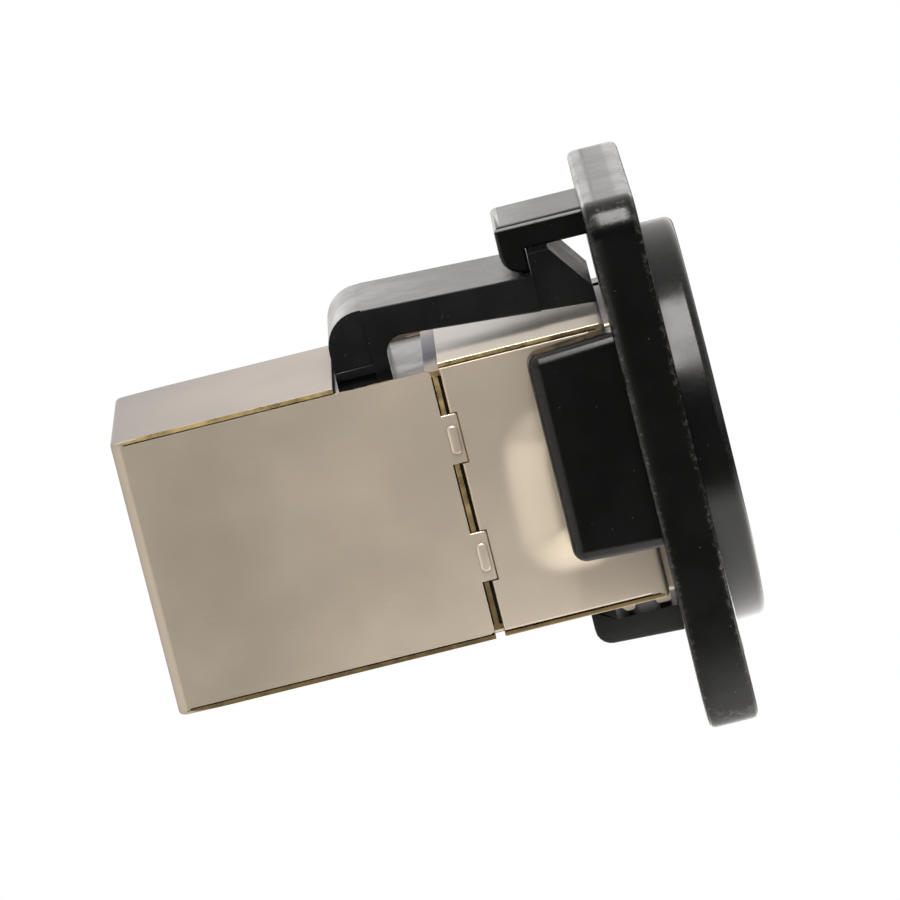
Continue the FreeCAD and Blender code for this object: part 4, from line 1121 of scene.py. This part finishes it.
class COUPLER_OT_rear_shell(bpy.types.Operator):
    """Folds the rear shell: port plate, four walls, locking tabs and pips"""
    bl_idname = "coupler.rear_shell"
    bl_label = "Rear shell"

    def execute(self, context):
        size = in_mm(context.scene.coupler_shells)
        sheet, half = size.sheet, HALF_WIDTH
        low, high = shell_corners()
        rear = low[0]
        front = -size.front_end - SHELL_GAP
        outer = box_shape((rear, -half, low[2]), (front, half, high[2]))
        soften(outer, size.bend, 8, lambda at, span: near(at.x, rear) and abs(span.z) > 1.0)
        soften(outer, size.cover_bend, 5, lambda at, span: at.x < rear + size.bend + 0.01
               and (near(at.z, low[2]) or near(at.z, high[2])) and abs(span.x) < size.bend)
        inner = box_shape((rear + sheet, sheet - half, low[2] + sheet),
                          (front + 1.0, half - sheet, high[2] - sheet))
        soften(inner, size.bend - sheet, 5, lambda at, span: near(at.x, rear + sheet)
               and abs(span.z) > 1.0)
        cover = box_shape((-size.cover_end, -half - 1.0, high[2] - sheet - size.seam),
                          (front + 1.0, half + 1.0, high[2] + 1.0), 1)
        opening = bmesh.new()
        prism(opening, port_outline(size, -1.0), 0, rear - 1.0, rear + 1.0, 1)
        slots = seams(low, high, rear + 1.2 * size.bend, front + 1.0, size)
        steps = [("DIFFERENCE", inner), ("DIFFERENCE", cover), ("DIFFERENCE", opening),
                 ("DIFFERENCE", joined(*slots)), ("UNION", joined(*self.tabs(size, front))),
                 ("UNION", joined(*self.pips(size, front)))]
        bm = combine(outer, steps)
        cut_lines(bm, low, high, size)
        ends = (high[2] - sheet - size.seam, low[2] + sheet + size.seam)
        soften(bm, size.side_round, 4, lambda at, span: near(at.x, front) and abs(span.y) > 0.1
               and any(near(at.z, end) for end in ends))
        soften(bm, 0.06, 2, lambda at, span: near(abs(at.y), half)
               and at.x > rear + 1.3 * size.bend
               and (near(at.x, front) or any(near(at.z, end) for end in ends)))
        for face in bm.faces:
            if near(face.calc_center_median().x, front) and abs(face.normal.x) > 0.9:
                face.material_index = 1
        finish_piece("folded_rear_shell", bm, ["satin_nickel", "cut_brass"],
                     ["rear_shell"])
        return {"FINISHED"}

    def tabs(self, size, front):
        """Two locking tabs a side."""
        corner, rim = 0.12, 0.07
        half, end, reach = HALF_WIDTH, front + size.tab_reach, size.tab_height / 2
        made = []
        for side in SIDES:
            for place in tab_places(size):
                tab = sided_box(front - 0.3, end, side, half - size.sheet, half, place - reach,
                                place + reach)
                soften(tab, corner, 3, lambda at, span: near(at.x, end) and abs(span.y) > 0.1)
                soften(tab, rim, 3, lambda at, span: near(abs(at.y), half) and at.x > front - 0.25)
                made.append(tab)
        return made

    def pips(self, size, front):
        """A pressed oblong pip on each tab."""
        corner, crest = 0.28, 0.14
        outside = HALF_WIDTH + size.pip_rise
        made = []
        for side in SIDES:
            for place in tab_places(size):
                pip = sided_box(front + 0.12, front + 0.76, side, HALF_WIDTH - 0.1, outside,
                                place - 0.9, place + 0.8)
                soften(pip, corner, 5, lambda at, span: abs(span.y) > 0.1)
                soften(pip, crest, 4, lambda at, span: near(abs(at.y), outside))
                made.append(pip)
        return made


# Latch and inner parts

class CouplerLatch(bpy.types.PropertyGroup):
    """Sizes of the latch moulding."""
    sleeve_half_width: length_property("Sleeve width", "Half the sleeve's width", 7.475)
    sleeve_top: length_property("Sleeve top", "Top of the sleeve above the axis", 7.65)
    sleeve_bottom: length_property("Sleeve bottom", "Bottom of the sleeve below the axis", 7.55)
    sleeve_front: length_property("Sleeve front", "Sleeve's front, behind the panel face", 8.25)
    sleeve_rear: length_property("Sleeve rear", "Sleeve's rear, behind the panel face", 22.65)
    sleeve_wall: length_property("Sleeve wall", "Wall of the sleeve at the sides", 0.475)
    foot_front: length_property("Foot front", "Front of the latch foot behind the panel face", 15.7)
    foot_rear: length_property("Foot rear", "Rear of the latch foot behind the panel face", 18.9)
    arm_half_width: length_property("Arm width", "Half the arm's width", 5.4)
    catch_half_width: length_property("Catch width", "Half the catch's width", 4.95)
    top_rear: length_property("Arm top, rear", "Top of the arm over the foot", 11.85)
    top_front: length_property("Arm top, front", "Top of the arm at the catch", 11.35)
    under_rear: length_property("Arm underside, rear", "Underside of the arm at the foot", 9.95)
    under_front: length_property("Arm underside, front", "Underside of the arm's front end", 8.95)
    catch_rear: length_property("Catch rear", "Rear wall of the catch behind the panel face", 6.59)
    catch_top: length_property("Catch top", "Top of the catch above the axis", 12.6)
    arm_front: length_property("Arm front", "Front end of the arm behind the panel face", 3.38)
    heel: length_property("Heel", "Rounding over the foot", 2.1)
    throat: length_property("Throat", "Rounding under the arm", 1.1)


class COUPLER_OT_latch(bpy.types.Operator):
    """Moulds the housing: sleeve, latch foot, sprung arm and catch"""
    bl_idname = "coupler.latch"
    bl_label = "Latch housing"

    def execute(self, context):
        size = in_mm(context.scene.coupler_latch)
        bore_half_height = 6.85
        wide = size.sleeve_half_width
        sleeve = box_shape((-size.sleeve_rear, -wide, -size.sleeve_bottom),
                           (-size.sleeve_front, wide, size.sleeve_top))
        soften(sleeve, 0.2, 2, lambda at, span: abs(span.x) > 1.0)
        bore = box_shape((-size.sleeve_rear - 1.0, size.sleeve_wall - wide, -bore_half_height),
                         (1.0 - size.sleeve_front, wide - size.sleeve_wall, bore_half_height))
        steps = [("UNION", self.arm(size)), ("UNION", self.catch(size)),
                 ("DIFFERENCE", self.recesses(size)), ("DIFFERENCE", bore)]
        bm = combine(sleeve, steps)
        # Rims of the recess in the foot's side
        soften(bm, 0.06, 2, lambda at, span: near(abs(at.y), size.arm_half_width)
               and at.x < 2.35 - size.foot_rear and 7.75 < at.z < size.top_rear - size.heel
               and not near(at.x, -size.foot_rear))
        finish_piece("latch_moulding", bm, ["latch_plastic"],
                     ["latch_housing"])
        return {"FINISHED"}

    def arm(self, size):
        """Foot and arm in one, with the heel rounded outside and inside."""
        bm = bmesh.new()
        root = size.sleeve_top - 0.3
        outline = [(-size.foot_rear, root), (-size.foot_rear, size.top_rear),
                   (-size.catch_rear, size.top_front), (-size.arm_front, ARM_TIP),
                   (-size.arm_front, size.under_front), (-size.foot_front, size.under_rear),
                   (-size.foot_front, root)]
        prism(bm, outline, 1, -size.arm_half_width, size.arm_half_width)
        soften(bm, size.heel, 10, lambda at, span: near(at.x, -size.foot_rear)
               and near(at.z, size.top_rear) and abs(span.y) > 1.0)
        soften(bm, size.throat, 6, lambda at, span: near(at.x, -size.foot_front)
               and near(at.z, size.under_rear) and abs(span.y) > 1.0)
        soften(bm, 0.12, 2, lambda at, span: near(abs(at.y), size.arm_half_width)
               and at.z > root + 0.3 and not near(at.x, -size.foot_front))
        trims = [sided_box(-size.catch_rear, 0.0, side, size.catch_half_width, 9.0, 8.0, 14.0)
                 for side in SIDES]
        return combine(bm, [("DIFFERENCE", joined(*trims))])

    def catch(self, size):
        """Upright wall behind, a short flat top, and a ramp down to the arm's front end."""
        flat, sunk = 1.25, 0.3
        bm = bmesh.new()
        outline = [(-size.catch_rear, size.top_front - sunk), (-size.catch_rear, size.catch_top),
                   (flat - size.catch_rear, size.catch_top), (-size.arm_front, ARM_TIP),
                   (-size.arm_front, ARM_TIP - sunk)]
        prism(bm, outline, 1, -size.catch_half_width, size.catch_half_width)
        soften(bm, 0.1, 2, lambda at, span: near(at.z, size.catch_top))
        return bm

    def recesses(self, size):
        """Recessed rear part of the foot, with the ledge left standing between."""
        length, depth = 2.3, 0.3
        ledge_foot, ledge_top = 8.08, 8.58
        return joined(*(
            sided_box(-size.foot_rear - 0.1, length - size.foot_rear, side,
                      size.arm_half_width - depth, size.arm_half_width + 1.0, foot, top)
            for side in SIDES
            for foot, top in ((7.7, ledge_foot), (ledge_top, size.top_rear + 0.1))))


class COUPLER_OT_mouldings(bpy.types.Operator):
    """Gives the inner mouldings, contacts and board their finishes"""
    bl_idname = "coupler.mouldings"
    bl_label = "Inner parts"

    def execute(self, context):
        finishes = {"socket": "socket_plastic", "comb": "socket_plastic", "contact": "gold_plating",
                    "board": "board_mask"}
        for name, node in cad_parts.items():
            for word, finish in finishes.items():
                if word in name:
                    node.data.materials.clear()
                    node.data.materials.append(material(finish))
        return {"FINISHED"}


# Sidebar and registration

class COUPLER_PT_sidebar(bpy.types.Panel):
    """Lists the pieces of the coupler"""
    bl_idname = "COUPLER_PT_sidebar"
    bl_label = "Panel network coupler"
    bl_space_type = "VIEW_3D"
    bl_region_type = "UI"
    bl_category = "Coupler"

    def draw(self, context):
        for operator in OPERATORS:
            self.layout.operator(operator.bl_idname)
        for title, kind in GROUP_CLASSES:
            group = getattr(context.scene, title)
            for name in group.bl_rna.properties.keys():
                if name not in ("rna_type", "name"):
                    self.layout.prop(group, name)


OPERATORS = (COUPLER_OT_stage, COUPLER_OT_flange, COUPLER_OT_front_shell, COUPLER_OT_rear_shell,
             COUPLER_OT_latch, COUPLER_OT_mouldings)
GROUP_CLASSES = (("coupler_finish", CouplerFinish), ("coupler_stage", CouplerStage),
                 ("coupler_flange", CouplerFlange), ("coupler_shells", CouplerShells),
                 ("coupler_latch", CouplerLatch))


def register():
    for name, group in GROUP_CLASSES:
        bpy.utils.register_class(group)
        setattr(bpy.types.Scene, name, bpy.props.PointerProperty(type=group))
    for operator in OPERATORS:
        bpy.utils.register_class(operator)
    bpy.utils.register_class(COUPLER_PT_sidebar)


def unregister():
    bpy.utils.unregister_class(COUPLER_PT_sidebar)
    for operator in reversed(OPERATORS):
        bpy.utils.unregister_class(operator)
    for name, group in reversed(GROUP_CLASSES):
        delattr(bpy.types.Scene, name)
        bpy.utils.unregister_class(group)


def main():
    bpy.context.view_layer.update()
    register()
    for operator in OPERATORS:
        family, name = operator.bl_idname.split(".")
        getattr(getattr(bpy.ops, family), name)()


if __name__ == "__main__":
    main()
